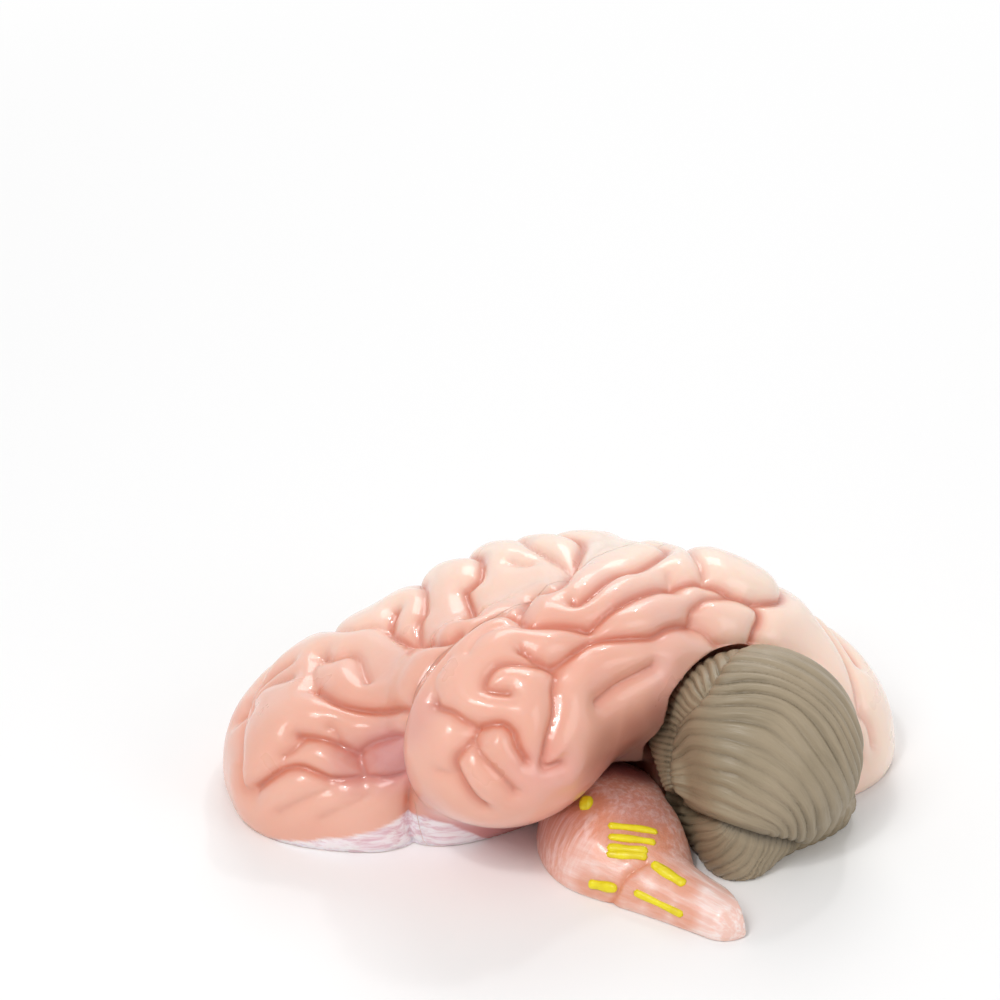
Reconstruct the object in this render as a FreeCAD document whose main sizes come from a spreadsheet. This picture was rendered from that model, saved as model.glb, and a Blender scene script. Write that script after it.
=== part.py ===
"""Left half of a life-size dissectible brain model, lying on its flat medial face.

Millimetres. +X runs from the frontal pole to the occipital pole, +Y from the underside of the
brain to its crown, and +Z from the midline cut out to the side. The origin lies in the midline
cut, a little above the underside of the frontal lobe.

The two lobes, the half brainstem and the half cerebellum are freeform castings. Each is the
level surface of a few blended eggs and tapered limbs, with the folds of the cortex pressed in
along drawn lines, and is built as a closed solid of small flat facets. Pins, sockets, the nerve
stubs and every cut between pieces are ordinary primitives and booleans.
"""
import FreeCAD
import Part
import math
import os
from FreeCAD import Placement, Rotation, Vector

doc = FreeCAD.newDocument("half_brain")
sheet = doc.addObject("Spreadsheet::Sheet", "sizes")

EGG_PARTS = ("x", "y", "z", "long", "tall", "wide")
LIMB_PARTS = ("x", "y", "z", "to_x", "to_y", "to_z", "thick", "to_thick")

# Eggs: centre x, y, z, then half length, half height and half width
EGGS = {
    "frontal": (-22, 19, 4, 45, 37, 35),
    "orbital": (-34, 0, 11, 29, 16, 24),
    "parietal": (20, 32, 6, 55, 37, 49),
    "crown": (58, 24, 5, 38, 31, 36),
    "temple": (-2, -17, 34, 25, 28.5, 23.5),
    "cheek": (42, 14, 32, 38, 22, 26),
    "occiput": (74, 13, 3, 30, 25, 30),
    "hemisphere": (61, -20, 23, 26.5, 25, 26),
    "vermis": (63, -16, 2, 25, 14, 16),
    "pons": (21, -25, 0, 13.5, 19, 16.5),
    "tegmentum": (32, -22, 0, 13, 22, 13),
}

# Tapered limbs: both ends, then the radius at each
LIMBS = {
    "temple_limb": (8, -12, 37, 26, -3, 42, 20, 17),
    "cheek_limb": (26, -3, 42, 50, 12, 38, 17, 17),
    "tonsil": (54, -34, 4, 50, -32, 16, 9, 10),
    "collar": (41, -3, 23, 42, -24, 19, 5.5, 5.5),
    "medulla": (31, -42, 0, 46.5, -58.5, 0, 10, 7.5),
    "midbrain": (24, -8, 0, 28, -24, 0, 13, 13),
}

SIZES = {
    # How softly the masses of one casting run together
    "lobe_blend": 5.0,
    "cerebellum_blend": 3.0,
    "collar_blend": 1.5,
    "brainstem_blend": 3.0,
    # Folds of the cortex: depth, half width, and the side of a facet
    "fold_depth": 4.4,
    "fold_reach": 6.4,
    # Share of the way that a net point is drawn to the middle of its neighbours
    "evening": 0.5,
    # Share of the depth beside the cut between the lobes, in the fissure and behind its end
    "fissure_share": 1.3,
    "rim_share": 0.5,
    "fissure_end_x": 30.0,
    "lobe_facet": 3.65,
    "brainstem_facet": 2.9,
    # Leaves of the cerebellum: pitch in degrees about their axis, depth, and steps along each.
    # The axis runs through a point below the middle of the hemisphere.
    "leaf_turn": 8.0,
    "leaf_depth": 1.1,
    "leaf_steps": 14,
    "leaf_centre_drop": 6.0,
    "leaf_axis_turn": -12.0,
    "leaf_axis_drop": 25.0,
    # The oblique cut between the two lobes, through this point and rising backwards
    "lobe_cut_x": -20.0,
    "lobe_cut_y": -18.0,
    "lobe_cut_rise": 35.6,
    "seam": 0.3,
    # Room that the brainstem leaves round the collar of the cerebellum
    "collar_gap": 0.9,
    # Room that the lobes leave round the cerebellum and round the brainstem
    "seat_gap": 0.9,
    "stem_gap": 1.4,
    "seat_blend": 2.0,
    # The cut between brainstem and cerebellum
    "stem_cut_x": 35.0,
    "stem_cut_y": 0.0,
    "stem_cut_fall": 76.0,
    # Steel pins: two between the lobes, one into the cerebellum, one into the brainstem
    "pin_radius": 2.0,
    "pin_reach": 8.0,
    "pin_clearance": 0.05,
    "pin_end_gap": 0.6,
    "pin_bevel": 0.5,
    "front_pin_along": 37.0,
    "front_pin_z": 37.0,
    "back_pin_along": 96.0,
    "back_pin_z": 20.0,
    "cerebellum_pin_x": 62.0,
    "cerebellum_pin_y": 5.0,
    "cerebellum_pin_z": 20.0,
    "cerebellum_pin_lean": 8.63,
    # Length by which a running hole starts before its pin's centre, to open through its face
    "hole_lead": 4.0,
    "stem_pin_radius": 1.5,
    "stem_pin_along": 22.0,
    "stem_pin_z": 5.0,
    "stem_pin_turn": 75.0,
    # Blind sockets in the medial face for the locating pins of the right half
    "socket_radius": 2.05,
    "socket_depth": 8.0,
    "front_socket_x": -22.0,
    "front_socket_y": 22.0,
    "back_socket_x": 74.0,
    "back_socket_y": 22.0,
    # Share of its sag by which a nerve stub is lifted on to the round of the brainstem
    "stub_lift": 0.6,
    # Drawing board of the folds: the eye, and the board's turn and tilt
    "eye_x": -78.0,
    "eye_y": -633.0,
    "eye_z": 414.0,
    "board_turn": 7.1,
    "board_tilt": 27.3,
    "board_unit": 1.003,
}

# Folds drawn on the board, seen from below the side: name: (share of full depth, points).
# The board's first number runs backwards, its second up and away, from the origin.
BOARD_FOLDS = {
    "frontal_low": (1.0, ((-46.1, 30), (-44.5, 28.8), (-40.5, 26), (-35.3, 24), (-30.1, 23.2),
                          (-23.3, 23.6))),
    "frontal_loop": (0.8, ((-44.1, 38.2), (-41.3, 37), (-36.9, 38), (-34.5, 36.8), (-33.3, 33.6),
                           (-32.5, 31.3))),
    "frontal_loop_end": (0.6, ((-44.1, 38.2), (-46.4, 34), (-46.1, 30))),
    "frontal_bay": (1.0, ((-25.8, 49.1), (-27.3, 45.1), (-25.8, 43.2), (-23, 41.8), (-18.6, 40.8),
                          (-14.2, 41.6), (-10.2, 44.3))),
    "frontal_pole": (0.7, ((-52.1, 32), (-58, 30), (-62, 25.3), (-62.4, 22.8))),
    "orbital_top": (1.0, ((-50.5, 16.8), (-46.1, 16.2), (-42.1, 15.2), (-38.9, 13.6),
                          (-34.9, 10.9))),
    "orbital_front": (0.8, ((-54.1, 11.5), (-51.7, 13.2), (-49.3, 15.8))),
    "orbital_branch": (0.7, ((-42.1, 19.2), (-40.5, 18), (-39.7, 14))),
    "orbital_low": (1.0, ((-61.6, 2.5), (-55.3, 6.9), (-52.1, 8.1), (-48.5, 7.9), (-44.5, 6.1),
                          (-41.3, 4.9), (-34.1, 4.9))),
    "orbital_island": (1.0, ((-34.9, 11.3), (-33.3, 13.3), (-30.9, 14.8), (-26.9, 15.8),
                             (-21.8, 15.6))),
    "orbital_island_low": (1.0, ((-34.9, 10.9), (-34.1, 7.7), (-32.9, 5.3), (-30.1, 4.9),
                                 (-26.6, 4.7), (-23, 5.7), (-19.8, 7.7))),
    "orbital_streak": (0.5, ((-54.9, -3.5), (-48.5, -0.3), (-42.1, 2.5))),
    "orbital_line": (0.4, ((-43.7, -4.7), (-37.3, -1.9), (-32.1, 0.9))),
    "temple_front": (0.9, ((-16.8, 25.3), (-15.6, 24.1), (-12.1, 22.9), (-9.4, 21), (-5.5, 18.6))),
    "temple_arch": (1.0, ((-5.5, 18.6), (-3.1, 19.4), (0, 19.8), (2.4, 19.4), (4.7, 17.1),
                          (5.9, 13.6), (8.2, 9.7))),
    "temple_fork": (0.9, ((-6.3, 18.3), (-6.7, 15.5), (-9.8, 12), (-11.3, 9.7), (-10.6, 6.1),
                          (-8.2, 2.3), (-5.5, -0.9), (-3.1, -2.5))),
    "temple_line": (0.8, ((-6.7, 15), (-4.7, 11.6), (-1.6, 8.1), (1.6, 5), (4.7, 1.4))),
    "temple_corner": (0.5, ((-15.3, 6.9), (-11.3, 5.6))),
    "temple_hook": (0.9, ((3.1, 28), (-1.6, 28.6), (-3.1, 29.6), (-2.4, 32.7), (0.4, 35.4),
                          (5.5, 36.2), (11.7, 35.8), (16, 34.7))),
    "temple_inner": (0.9, ((16.4, 35), (16, 31.9), (15.3, 28), (15.6, 24.9), (15.3, 21),
                           (14, 16.3), (13.3, 12.4), (12.9, 8.1), (17.2, 8.9))),
    "temporal_upper": (1.0, ((6.3, 39.5), (8.2, 38.6), (11, 37), (16.4, 35.8), (21.9, 39.3),
                             (25.8, 41.3), (35.5, 41.5), (40.6, 41.8), (44.7, 44), (50.8, 44.9))),
    "temporal_under": (0.8, ((26.3, 25.1), (30.9, 28.8), (35.5, 31.2), (40.1, 33.5))),
    "temple_crown": (0.4, ((-7.3, 38.4), (-5.4, 41.5), (-2.3, 43.8), (2.3, 45.3), (6.1, 45.9))),
    "temple_side": (0.4, ((-16.8, 25.3), (-16.4, 30), (-15.6, 32.3), (-12.5, 37))),
    "fissure_back": (1.1, ((-6.5, 47.6), (-3.5, 48.4), (0.8, 48.6), (5.3, 48.4), (8.4, 46.1),
                           (14.5, 45.8), (19.5, 45.3), (23.7, 44.9))),
    "precentral_step": (0.6, ((3.4, 61), (5.6, 60.4), (8.2, 60.6))),
    "postcentral_end": (0.6, ((43.4, 58.6), (44.8, 55.7))),
    "supramarginal": (1.0, ((23.7, 45), (26.3, 46.9), (29.8, 49.7), (36.4, 53.2), (44.8, 55.7))),
    "island_front": (0.9, ((50.8, 44.9), (50.3, 48.3), (52.2, 50.6), (54.5, 52), (60.5, 52.9))),
    "island_back": (1.0, ((66.2, 50.6), (67.4, 48.3), (67.2, 45.6), (66, 42.8), (65.3, 38.4))),
    "island_low": (0.8, ((50.8, 44.9), (53.5, 42.5), (55.9, 39.4), (59.6, 37.6), (65.3, 37.2))),
    "occipital_lip": (0.9, ((66.5, 36.8), (70.7, 35.8), (77.1, 33.5), (81.8, 28.9), (85.9, 25),
                            (89.1, 20.5), (91, 15.9), (91.8, 10))),
}

# Folds on the side that the board doesn't show, as x, y seen square on to the midline cut
PLAN_FOLDS = {
    "upper_frontal": (1.0, ((-58, 30), (-48, 38), (-36, 45), (-24, 49), (-10, 53), (0, 57))),
    "intraparietal": (1.0, ((42, 51), (52, 50), (62, 47), (70, 41))),
    "parieto_occipital": (1.0, ((66, 58), (70, 49), (76, 44))),
    "occipital_back": (1.0, ((77, 42), (84, 33), (90, 24), (95, 13))),
    "occipital_branch": (0.8, ((84, 33), (93, 35))),
    "pole_line": (0.8, ((-64, 20), (-58, 24), (-50, 23))),
    "frontal_rung_1": (0.8, ((-51, 46), (-46, 39))),
    "frontal_rung_2": (0.8, ((-30, 57), (-28, 48))),
    "frontal_rung_3": (0.8, ((-14, 62), (-12, 53))),
}

# Folds that run over the top from one side to the other: board points, then x, y points
OVER_FOLDS = {
    "frontal_upper": (0.7, ((-27.3, 45.1), (-31, 45.3), (-36.9, 44.2)), ((-38, 36), (-36, 45))),
    "frontal_bay_side": (0.9, ((-20.2, 41.5), (-19.9, 46), (-18.6, 49)), ((-15, 35), (-16, 42),
                                                                          (-13, 50))),
    "precentral": (1.0, ((-6.6, 47.6), (-8.1, 52.3), (-6.9, 54.9), (-4.6, 57.6)),
                   ((0, 37), (-3, 46), (-2, 53), (3, 58), (4, 66))),
    "precentral_cap": (0.8, ((18, 59.5), (15.5, 61.2)), ((13, 35), (12, 42), (9, 52), (12, 66))),
    "central": (1.0, ((5.3, 48.4), (6.1, 50.3), (8.4, 52.6), (14.9, 54.9), (18, 59.5)),
                ((26, 32), (24, 40), (19, 49), (22, 56), (24, 62), (30, 70))),
    "postcentral": (1.0, ((18.8, 51.8), (20.3, 51.3), (24.1, 54.3), (29.8, 58.5), (36, 60)),
                    ((45, 19), (44, 28), (40, 38), (42, 52), (40, 60), (44, 68))),
    "parietal_rung": (0.8, ((53.1, 56.4), (52.4, 58.3)), ((52, 18), (52, 34), (56, 50), (53, 57),
                                                          (56, 65))),
    "angular": (1.0, ((44.8, 55.7), (48.5, 56.4), (52.2, 56.4), (55.9, 55.2), (60.5, 52.9),
                      (66.2, 50.8)), ((74, 10), (76, 20), (72, 30), (70, 41))),
    "occipital_edge": (0.7, ((95.5, 14), (94.3, 19.5), (91.9, 23.8)), ((90, 12), (84, 22),
                                                                       (84, 33))),
    "pole_edge": (0.7, ((-62.4, 1.8), (-64.7, 3.2), (-65.2, 7.7), (-64.9, 12.7)),
                  ((-62, 23), (-58, 30))),
}

# Nerve stubs on the brainstem, drawn on the board: both ends, then thickness
STUBS = (
    ((20.8, -0.5), (24.2, -0.5), 4.2),
    ((27.8, -6), (40.5, -7.8), 1.9),
    ((27.8, -8.7), (40, -10.5), 2.0),
    ((27.5, -12.2), (38, -13.2), 3.2),
    ((23, -20.5), (30.3, -21.8), 2.5),
    ((38.8, -15.3), (47.3, -20.8), 2.6),
    ((34.3, -22.5), (46.8, -28.5), 1.7),
)

# Share of the full depth that no fold passes
DEEPEST = 1.5

LOBE_MASSES = ("frontal", "orbital", "parietal", "crown", "temple", "cheek", "occiput",
               "temple_limb", "cheek_limb")
CEREBELLUM_MASSES = ("hemisphere", "vermis", "tonsil")
BRAINSTEM_MASSES = ("pons", "tegmentum", "medulla", "midbrain")


def fill_sheet():
    """Write every driving size into its own named cell."""
    rows = dict(SIZES)
    for name, values in EGGS.items():
        for part, value in zip(EGG_PARTS, values):
            rows[name + "_" + part] = value
    for name, values in LIMBS.items():
        for part, value in zip(LIMB_PARTS, values):
            rows[name + "_" + part] = value
    for number, stub in enumerate(STUBS, start=1):
        rows["stub_%d_thick" % number] = stub[2]
    for row, (name, value) in enumerate(rows.items(), start=1):
        sheet.set("A%d" % row, name)
        sheet.set("B%d" % row, str(value))
        sheet.setAlias("B%d" % row, name)
    doc.recompute()


def size(name):
    """One driving size, read from its cell."""
    return float(getattr(sheet, name))


def egg(name):
    """Distance-like field of one egg: negative inside, zero on its surface."""
    cx, cy, cz, ax, ay, az = (size(name + "_" + part) for part in EGG_PARTS)

    def field(p):
        x = (p[0] - cx) / ax
        y = (p[1] - cy) / ay
        z = (p[2] - cz) / az
        reach = math.sqrt(x * x + y * y + z * z) + 1e-9
        slope = math.sqrt((x / ax) ** 2 + (y / ay) ** 2 + (z / az) ** 2) + 1e-9
        return reach * (reach - 1.0) / slope
    return field


def limb(name):
    """Distance field of one tapered limb with round ends."""
    ax, ay, az, bx, by, bz, thick, to_thick = (size(name + "_" + part) for part in LIMB_PARTS)
    dx, dy, dz = bx - ax, by - ay, bz - az
    length_squared = dx * dx + dy * dy + dz * dz

    def field(p):
        x, y, z = p[0] - ax, p[1] - ay, p[2] - az
        t = (x * dx + y * dy + z * dz) / length_squared
        t = min(1.0, max(0.0, t))
        away = math.sqrt((x - t * dx) ** 2 + (y - t * dy) ** 2 + (z - t * dz) ** 2)
        return away - thick - t * (to_thick - thick)
    return field


def blend(names, softness):
    """Masses run together: a soft minimum of their fields."""
    fields = [egg(name) if name in EGGS else limb(name) for name in names]

    def field(p):
        values = [one(p) for one in fields]
        low = min(values)
        total = sum(math.exp((low - value) / softness) for value in values)
        return low - softness * math.log(total)
    return field


def slope_at(field, p, step=0.2):
    """Unit outward normal of a field at a point."""
    g = []
    for axis in range(3):
        ahead = list(p)
        behind = list(p)
        ahead[axis] += step
        behind[axis] -= step
        g.append(field(ahead) - field(behind))
    length = math.sqrt(g[0] ** 2 + g[1] ** 2 + g[2] ** 2) + 1e-12
    return [g[0] / length, g[1] / length, g[2] / length], length / (2.0 * step)


def settle(field, p, rounds=3):
    """Move a point onto the level surface of a field."""
    p = list(p)
    for _ in range(rounds):
        normal, rate = slope_at(field, p)
        shift = field(p) / max(rate, 0.2)
        p = [p[k] - shift * normal[k] for k in range(3)]
    return p


def distance(a, b):
    return math.sqrt((a[0] - b[0]) ** 2 + (a[1] - b[1]) ** 2 + (a[2] - b[2]) ** 2)


def first_hit(field, start, direction, far):
    """First point of a surface along a ray, or the nearest pass where the ray misses it."""
    travelled = 0.0
    best = (1e9, start)
    while travelled < far:
        p = [start[k] + travelled * direction[k] for k in range(3)]
        value = field(p)
        if value < best[0]:
            best = (value, p)
        if value < 0.02:
            break
        travelled += max(0.6 * value, 0.05)
    return settle(field, best[1])


def board_ray(u, v):
    """Eye point and direction through one point of the drawing board."""
    turn = math.radians(size("board_turn"))
    tilt = math.radians(size("board_tilt"))
    unit = size("board_unit")
    right = (math.cos(turn), -math.sin(turn), 0.0)
    up = (math.sin(tilt) * math.sin(turn), math.sin(tilt) * math.cos(turn), math.cos(tilt))
    eye = [size("eye_x"), size("eye_y"), size("eye_z")]
    target = [unit * (u * right[k] + v * up[k]) for k in range(3)]
    reach = distance(target, eye)
    return eye, [(target[k] - eye[k]) / reach for k in range(3)], reach


def from_board(field, u, v):
    """Surface point that the eye sees through one point of the board."""
    eye, direction, reach = board_ray(u, v)
    near = reach - 120.0
    start = [eye[k] + near * direction[k] for k in range(3)]
    return first_hit(field, start, direction, 200.0)


def from_plan(field, x, y):
    """Surface point straight above x, y, or the nearest one on the rim of the midline cut."""
    p = first_hit(field, [x, y, 90.0], (0.0, 0.0, -1.0), 90.0)
    if p[2] < 0.0:
        p[2] = 0.0
    return p


def curve_through(points, parts):
    """Smooth line through drawn points, cut into short steps (a Catmull-Rom curve)."""
    if len(points) < 3:
        steps = [t / parts for t in range(parts + 1)]
        a, b = points
        return [tuple(p + t * (q - p) for p, q in zip(a, b)) for t in steps]
    padded = [points[0]] + list(points) + [points[-1]]
    line = []
    for k in range(1, len(padded) - 2):
        before, a, b, after = padded[k - 1:k + 3]
        for step in range(parts):
            t = step / parts
            line.append(tuple(
                0.5 * (2 * a[c] + (b[c] - before[c]) * t
                       + (2 * before[c] - 5 * a[c] + 4 * b[c] - after[c]) * t ** 2
                       + (3 * a[c] - before[c] - 3 * b[c] + after[c]) * t ** 3)
                for c in range(len(a))))
    line.append(tuple(points[-1]))
    return line


def drawn_folds(field):
    """Every fold as (share of depth, line of points on the uncut cortex, centre, radius)."""
    folds = []
    for share, points in BOARD_FOLDS.values():
        line = [from_board(field, u, v) for u, v in curve_through(points, 2)]
        folds.append((share, line))
    for share, points in PLAN_FOLDS.values():
        line = [from_plan(field, x, y) for x, y in curve_through(points, 2)]
        folds.append((share, line))
    for share, near, far in OVER_FOLDS.values():
        points = [from_board(field, u, v) for u, v in near] + [from_plan(field, x, y) for x, y in far]
        line = [settle(field, p) for p in curve_through(points, 2)]
        folds.append((share, line))
    bounded = []
    for share, line in folds:
        centre = [sum(p[k] for p in line) / len(line) for k in range(3)]
        radius = max(distance(p, centre) for p in line)
        bounded.append((share, line, centre, radius))
    return bounded


def away_from(line, p):
    """Distance of a point from a chain of points."""
    best = 1e18
    for a, b in zip(line, line[1:]):
        dx, dy, dz = b[0] - a[0], b[1] - a[1], b[2] - a[2]
        length_squared = dx * dx + dy * dy + dz * dz + 1e-12
        t = ((p[0] - a[0]) * dx + (p[1] - a[1]) * dy + (p[2] - a[2]) * dz) / length_squared
        t = min(1.0, max(0.0, t))
        off_x = p[0] - a[0] - t * dx
        off_y = p[1] - a[1] - t * dy
        off_z = p[2] - a[2] - t * dz
        best = min(best, off_x ** 2 + off_y ** 2 + off_z ** 2)
    return math.sqrt(best)


def pressed(p, normal, below, folds):
    """A point of the cortex pushed in beside the folds, and how far it went in.

    Each fold is a rounded valley. Beside the cut between the lobes both edges are rounded down
    into the lateral fissure, deepest at the temple. A point in the seat that already lies below
    the cortex goes in by so much less.
    """
    depth = size("fold_depth")
    reach = size("fold_reach")
    level = 1.0
    for share, line, centre, radius in folds:
        if distance(p, centre) > radius + reach:
            continue
        away = away_from(line, p)
        if away < reach:
            level *= 1.0 - 0.5 * share * (1.0 + math.cos(math.pi * away / reach)) / DEEPEST
    rim_away = abs(side_of(p, lobe_cut(1)))
    if rim_away < reach:
        share = size("fissure_share") if p[0] < size("fissure_end_x") else size("rim_share")
        level *= 1.0 - share * (1.0 - rim_away / reach) ** 2 / DEEPEST
    sink = max(0.0, DEEPEST * depth * (1.0 - level) - below)
    return [p[k] - sink * normal[k] for k in range(3)], sink


def parted(values):
    """Grid values in which no square has corners that alternate between inside and outside.

    Such a square would give an edge of the net four facets. Its weakest corner changes sides.
    """
    pairs = (((1, 0, 0), (0, 1, 0)), ((0, 1, 0), (0, 0, 1)), ((0, 0, 1), (1, 0, 0)))
    for _ in range(8):
        weakest = []
        for (i, j, k), value in values.items():
            for (ai, aj, ak), (bi, bj, bk) in pairs:
                far = (i + ai + bi, j + aj + bj, k + ak + bk)
                if far not in values:
                    continue
                one = (i + ai, j + aj, k + ak)
                other = (i + bi, j + bj, k + bk)
                inside = value < 0
                if (values[far] < 0) != inside or (values[one] < 0) == inside:
                    continue
                if (values[other] < 0) == inside:
                    continue
                square = ((i, j, k), one, far, other)
                weakest.append(min(square, key=lambda node: abs(values[node])))
        if not weakest:
            break
        for node in set(weakest):
            values[node] = 0.001 if values[node] < 0 else -0.001
    return values


def net_of(field, low, high, cell):
    """Closed net of four-sided meshes round the level surface of a field."""
    counts = [int((high[k] - low[k]) / cell) + 2 for k in range(3)]
    values = {}
    for i in range(counts[0]):
        x = low[0] + i * cell
        for j in range(counts[1]):
            y = low[1] + j * cell
            for k in range(counts[2]):
                values[i, j, k] = field((x, y, low[2] + k * cell))
    values = parted(values)
    corners = [(a, b, c) for a in (0, 1) for b in (0, 1) for c in (0, 1)]
    rods = [(p, q) for p in corners for q in corners
            if p < q and sum(abs(p[k] - q[k]) for k in range(3)) == 1]
    points = []
    number = {}
    for i in range(counts[0] - 1):
        for j in range(counts[1] - 1):
            for k in range(counts[2] - 1):
                local = {c: values[i + c[0], j + c[1], k + c[2]] for c in corners}
                inside = sum(value < 0 for value in local.values())
                if inside in (0, 8):
                    continue
                total = [0.0, 0.0, 0.0]
                crossed = 0
                for p, q in rods:
                    a, b = local[p], local[q]
                    if (a < 0) != (b < 0):
                        t = a / (a - b)
                        total = [total[r] + p[r] + t * (q[r] - p[r]) for r in range(3)]
                        crossed += 1
                number[i, j, k] = len(points)
                points.append([low[r] + cell * ((i, j, k)[r] + total[r] / crossed)
                               for r in range(3)])
    meshes = []
    for node, value in values.items():
        for axis in range(3):
            ahead = list(node)
            ahead[axis] += 1
            other = values.get(tuple(ahead))
            if other is None or (value < 0) == (other < 0):
                continue
            a, b = ((1, 2), (2, 0), (0, 1))[axis]
            ring = []
            for da, db in ((1, 1), (0, 1), (0, 0), (1, 0)):
                cell_at = list(node)
                cell_at[a] -= da
                cell_at[b] -= db
                ring.append(number.get(tuple(cell_at)))
            if None in ring:
                continue
            if value >= 0:
                ring.reverse()
            meshes.append(ring)
    return points, meshes


def split_meshes(meshes, sinks):
    """Cut each four-sided mesh in two along its deeper diagonal, so that creases run unbroken."""
    facets = []
    for a, b, c, d in meshes:
        if sinks[a] + sinks[c] >= sinks[b] + sinks[d]:
            facets += [(a, b, c), (a, c, d)]
        else:
            facets += [(b, c, d), (b, d, a)]
    return facets


def snap_to(points, planes, catch):
    """Points that lie close to a cutting plane are laid on it."""
    for p in points:
        for origin, normal in planes:
            off = sum((p[k] - origin[k]) * normal[k] for k in range(3))
            if abs(off) < catch:
                for k in range(3):
                    p[k] -= off * normal[k]


def side_of(point, plane):
    """Distance of a point in front of a plane, zero where it lies on it."""
    origin, normal = plane
    off = sum((point[k] - origin[k]) * normal[k] for k in range(3))
    return 0.0 if abs(off) < 1e-7 else off


def trimmed(points, facets, plane):
    """Open skin with everything behind a plane cut away."""
    off = [side_of(p, plane) for p in points]
    made = {}

    def crossing(a, b):
        key = (min(a, b), max(a, b))
        if key not in made:
            t = off[key[0]] / (off[key[0]] - off[key[1]])
            p, q = points[key[0]], points[key[1]]
            points.append([p[k] + t * (q[k] - p[k]) for k in range(3)])
            off.append(0.0)
            made[key] = len(points) - 1
        return made[key]

    kept = []
    for facet in facets:
        sides = [off[n] for n in facet]
        if max(sides) <= 0.0:
            continue
        if min(sides) >= 0.0:
            kept.append(facet)
            continue
        ring = []
        for a, b in zip(facet, facet[1:] + facet[:1]):
            if off[a] >= 0.0:
                ring.append(a)
            if off[a] * off[b] < 0.0:
                ring.append(crossing(a, b))
        kept += [(ring[0], ring[n], ring[n + 1]) for n in range(1, len(ring) - 1)]
    return kept


def open_edges(facets):
    """Edges that only one facet uses, each in the direction of the missing neighbour."""
    used = set()
    for a, b, c in facets:
        used.update(((a, b), (b, c), (c, a)))
    return [(b, a) for a, b in used if (b, a) not in used]


def rings_of(edges):
    """Closed rings from directed edges."""
    after = {}
    for a, b in edges:
        after.setdefault(a, []).append(b)
    rings = []
    while after:
        start = next(iter(after))
        ring = [start]
        here = after[start].pop()
        if not after[start]:
            del after[start]
        while here != start:
            ring.append(here)
            onward = after[here].pop()
            if not after[here]:
                del after[here]
            here = onward
        rings.append(ring)
    return rings


def cap_rings(points, facets, planes):
    """For each cutting plane, the closed rings that bound its flat face."""
    on_plane = [[] for _ in planes]
    for a, b in open_edges(facets):
        homes = [n for n, plane in enumerate(planes)
                 if side_of(points[a], plane) == 0.0 and side_of(points[b], plane) == 0.0]
        on_plane[homes[0]].append((a, b))
    if len(planes) == 2:
        along = Vector(*planes[0][1]).cross(Vector(*planes[1][1]))
        starts = {a for a, b in on_plane[0]}
        ends = {b for a, b in on_plane[0]}
        corners = sorted(starts ^ ends, key=lambda n: Vector(*points[n]).dot(along))
        for low, high in zip(corners[::2], corners[1::2]):
            if low in ends:
                on_plane[0].append((low, high))
                on_plane[1].append((high, low))
            else:
                on_plane[0].append((high, low))
                on_plane[1].append((low, high))
    return [rings_of(edges) for edges in on_plane]


def solid_from(points, facets, planes):
    """Closed solid from a skin of small flat facets and one flat face on each cutting plane."""
    vectors = [Vector(*p) for p in points]
    edges = {}

    def edge(a, b):
        key = (min(a, b), max(a, b))
        if key not in edges:
            edges[key] = Part.makeLine(vectors[key[0]], vectors[key[1]])
        return edges[key]

    def wire(ring):
        return Part.Wire([edge(a, b) for a, b in zip(ring, ring[1:] + ring[:1])])

    faces = [Part.Face(wire(list(facet))) for facet in facets]
    for rings in cap_rings(points, facets, planes):
        wires = sorted((wire(ring) for ring in rings), key=lambda w: -w.BoundBox.DiagonalLength)
        faces += Part.makeFace(wires, "Part::FaceMakerBullseye").Faces
    shell = Part.Shell(faces)
    if not shell.isClosed():
        raise RuntimeError("a casting's skin is not closed")
    solid = Part.Solid(shell)
    if solid.Volume < 0.0:
        solid.reverse()
    return solid


def feature(name, shape):
    """A freeform shape as an object of the document."""
    thing = doc.addObject("Part::Feature", name)
    thing.Shape = shape
    thing.Placement = Placement()
    return thing


MEDIAL = ((0.0, 0.0, 0.0), (0.0, 0.0, 1.0))


def lobe_cut(side):
    """The oblique cut between the lobes, set back by half the seam towards one side."""
    rise = math.radians(size("lobe_cut_rise"))
    normal = (-side * math.sin(rise), side * math.cos(rise), 0.0)
    half = 0.5 * size("seam")
    origin = (size("lobe_cut_x") + half * normal[0], size("lobe_cut_y") + half * normal[1], 0.0)
    return origin, normal


def stem_cut(side):
    """The cut between brainstem and cerebellum, set back by half the seam."""
    fall = math.radians(size("stem_cut_fall"))
    normal = (-side * math.sin(fall), -side * math.cos(fall), 0.0)
    half = 0.5 * size("seam")
    origin = (size("stem_cut_x") + half * normal[0], size("stem_cut_y") + half * normal[1], 0.0)
    return origin, normal


def behind(plane):
    """Field of the half space that a plane keeps."""
    (ox, oy, oz), (nx, ny, nz) = plane
    return lambda p: -((p[0] - ox) * nx + (p[1] - oy) * ny + (p[2] - oz) * nz)


def cerebellum_field():
    """Hemisphere, vermis and tonsil trimmed by the stem cut, with the collar beside it."""
    body = blend(CEREBELLUM_MASSES, size("cerebellum_blend"))
    collar = limb("collar")
    trim = behind(stem_cut(-1))
    soft = size("collar_blend")

    def field(p):
        main = max(body(p), trim(p))
        edge = collar(p)
        low = min(main, edge)
        return low - soft * math.log(math.exp((low - main) / soft) + math.exp((low - edge) / soft))
    return field


def brainstem_field(cerebellum):
    """Midbrain, pons and medulla, trimmed by the stem cut and clear of the cerebellum."""
    body = blend(BRAINSTEM_MASSES, size("brainstem_blend"))
    trim = behind(stem_cut(1))
    gap = size("collar_gap")
    return lambda p: max(body(p), trim(p), gap - cerebellum(p))


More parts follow.
